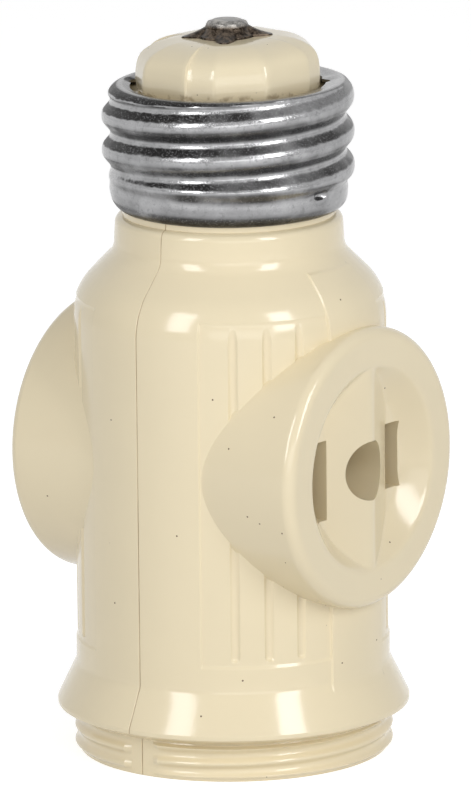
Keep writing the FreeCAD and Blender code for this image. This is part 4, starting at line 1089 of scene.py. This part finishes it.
def fibre_material(finish):
    """Dark fibre board with a cloudy tone."""
    material, tree, shader = new_material("fibre_board")
    web = Wiring(tree)
    cloud = specks(web, 400.0, 0.1)[1]
    board = web.blend(cloud, tint(finish.fibre, 0.7), tint(finish.fibre, 1.3))
    web.links.new(board, shader.inputs["Base Color"])
    shader.inputs["Roughness"].default_value = 0.75
    return material


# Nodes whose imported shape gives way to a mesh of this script
REPLACED = ("right_body_half", "left_body_half", "male_screw_shell", "socket_shell",
            "insulator_cap", "contact_plate", "contact_rivet")


class ADAPTER_OT_carried_nodes(Operator):
    """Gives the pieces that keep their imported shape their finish"""
    bl_idname = "adapter.carried_nodes"
    bl_label = "Carried Pieces"

    def execute(self, context):
        finish = context.scene.adapter_finish
        brass = plain_metal("strap_brass", finish.brass, 0.38)
        dark = plain_metal("tarnished_metal", RIVET_COLOUR, 0.42)
        finishes = {"body_rivet": dark, "insulating_disc": fibre_material(finish)}
        for name, node in NODES.items():
            if name in REPLACED:
                continue
            node.data.materials.clear()
            node.data.materials.append(finishes.get(name, brass))
        return {"FINISHED"}


# Stage

def aim(thing, target, roll=0.0):
    """Turn a lamp or camera towards a point."""
    away = Vector(target) - thing.location
    thing.rotation_mode = "QUATERNION"
    thing.rotation_quaternion = away.to_track_quat("-Z", "Y") @ Quaternion((0, 0, 1), math.radians(roll))


def direction(azimuth, elevation):
    """Unit vector from the axis towards an azimuth and an elevation in degrees."""
    a, e = math.radians(azimuth), math.radians(elevation)
    return Vector((math.sin(a) * math.cos(e), -math.cos(a) * math.cos(e), math.sin(e)))


def seen_rays(tree):
    """1 for rays from the camera, in reflections and through glass."""
    path = tree.nodes.new("ShaderNodeLightPath")
    share = path.outputs["Is Camera Ray"]
    for ray in ("Is Glossy Ray", "Is Transmission Ray"):
        larger = tree.nodes.new("ShaderNodeMath")
        larger.operation = "MAXIMUM"
        tree.links.new(share, larger.inputs[0])
        tree.links.new(path.outputs[ray], larger.inputs[1])
        share = larger.outputs[0]
    return share


def mix_shaders(tree, share, plain, seen):
    """The seen shader where the share is 1, the plain one elsewhere."""
    mix = tree.nodes.new("ShaderNodeMixShader")
    tree.links.new(share, mix.inputs["Fac"])
    tree.links.new(plain.outputs[0], mix.inputs[1])
    tree.links.new(seen.outputs[0], mix.inputs[2])
    return mix


def make_camera(scene, target):
    """The camera that sees the adapter as the photo does."""
    camera = bpy.data.objects.new("camera", bpy.data.cameras.new("camera"))
    camera.data.lens = VIEW_LENS
    camera.data.sensor_width = VIEW_SENSOR
    camera.data.clip_end = 20.0
    camera.location = target + direction(VIEW_AZIMUTH, VIEW_ELEVATION) * VIEW_DISTANCE * MM
    scene.collection.objects.link(camera)
    aim(camera, Vector(VIEW_AIM) * MM, VIEW_ROLL)
    scene.camera = camera


def make_lamps(scene, stage, target):
    """Two softboxes above, and a low broad lamp in front."""
    box = (stage.lamp_width, stage.lamp_height)
    broad = (stage.front_width, stage.front_height)
    lamps = (
        ("left_softbox", stage.left_azimuth, stage.lamp_elevation, box, stage.left_power),
        ("right_softbox", stage.right_azimuth, stage.lamp_elevation, box, stage.right_power),
        ("front_lamp", stage.front_azimuth, stage.front_elevation, broad, stage.front_power),
    )
    for name, azimuth, elevation, size, power in lamps:
        lamp = bpy.data.lights.new(name, "AREA")
        lamp.shape = "RECTANGLE"
        lamp.size, lamp.size_y = size
        lamp.energy = power
        holder = bpy.data.objects.new(name, lamp)
        holder.location = target + direction(azimuth, elevation) * stage.lamp_distance
        scene.collection.objects.link(holder)
        aim(holder, target)


def make_world(scene, stage):
    """Even light, seen as plain white by the camera and in reflections."""
    world = bpy.data.worlds.new("room")
    scene.world = world
    world.use_nodes = True
    tree = world.node_tree
    room = tree.nodes["Background"]
    room.inputs["Color"].default_value = (1, 1, 1, 1)
    room.inputs["Strength"].default_value = stage.room_light
    seen = tree.nodes.new("ShaderNodeBackground")
    seen.inputs["Color"].default_value = (1, 1, 1, 1)
    mix = mix_shaders(tree, seen_rays(tree), room, seen)
    tree.links.new(mix.outputs[0], tree.nodes["World Output"].inputs["Surface"])


def make_floor(stage):
    """A round white floor under the rim, which shows white where light falls and keeps the shadow."""
    reach = 1500.0
    sides = 96
    angles = np.linspace(0, 2 * math.pi, sides, endpoint=False)
    points = [(reach * math.cos(a), reach * math.sin(a), 0) for a in angles]
    floor = make_object("floor", points, [list(range(sides))])
    material, tree, shader = new_material("floor_white")
    shader.inputs["Base Color"].default_value = (0.8, 0.8, 0.8, 1)
    shader.inputs["Roughness"].default_value = 0.7
    glow = tree.nodes.new("ShaderNodeEmission")
    glow.inputs["Strength"].default_value = stage.floor_glow
    lifted = tree.nodes.new("ShaderNodeAddShader")
    tree.links.new(shader.outputs[0], lifted.inputs[0])
    tree.links.new(glow.outputs[0], lifted.inputs[1])
    mix = mix_shaders(tree, seen_rays(tree), shader, lifted)
    tree.links.new(mix.outputs[0], tree.nodes["Material Output"].inputs["Surface"])
    floor.data.materials.append(material)


class ADAPTER_OT_stage(Operator):
    """Sets up the camera, floor, lamps and even light"""
    bl_idname = "adapter.stage"
    bl_label = "Stage"

    def execute(self, context):
        scene = context.scene
        stage = scene.adapter_stage
        target = Vector((0, 0, VIEW_TARGET_HEIGHT * MM))
        make_camera(scene, target)
        make_floor(stage)
        make_lamps(scene, stage, target)
        make_world(scene, stage)
        scene.view_settings.view_transform = "Standard"
        return {"FINISHED"}


class ADAPTER_PT_panel(Panel):
    """Lists the adapter's pieces and their settings"""
    bl_idname = "ADAPTER_PT_panel"
    bl_label = "Lamp Socket Adapter"
    bl_space_type = "VIEW_3D"
    bl_region_type = "UI"
    bl_category = "Adapter"

    def draw(self, context):
        for operator in OPERATORS:
            self.layout.operator(operator.bl_idname)
        for name in SETTINGS:
            box = self.layout.box()
            for prop in getattr(context.scene, name).bl_rna.properties:
                if not prop.is_readonly and prop.identifier != "name":
                    box.prop(getattr(context.scene, name), prop.identifier)


OPERATORS = (
    ADAPTER_OT_body_halves,
    ADAPTER_OT_screw_shells,
    ADAPTER_OT_cap_contact,
    ADAPTER_OT_carried_nodes,
    ADAPTER_OT_stage,
)


def register():
    """Register the settings, the operators and the panel."""
    for name, settings in SETTINGS.items():
        bpy.utils.register_class(settings)
        setattr(bpy.types.Scene, name, PointerProperty(type=settings))
    for operator in OPERATORS:
        bpy.utils.register_class(operator)
    bpy.utils.register_class(ADAPTER_PT_panel)


def unregister():
    """Take them away again, in the opposite order."""
    bpy.utils.unregister_class(ADAPTER_PT_panel)
    for operator in reversed(OPERATORS):
        bpy.utils.unregister_class(operator)
    for name, settings in SETTINGS.items():
        delattr(bpy.types.Scene, name)
        bpy.utils.unregister_class(settings)


def main():
    """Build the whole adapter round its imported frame."""
    register()
    bpy.ops.adapter.stage()
    bpy.ops.adapter.body_halves()
    bpy.ops.adapter.screw_shells()
    bpy.ops.adapter.cap_contact()
    bpy.ops.adapter.carried_nodes()
    bpy.context.view_layer.update()


if __name__ == "__main__":
    main()
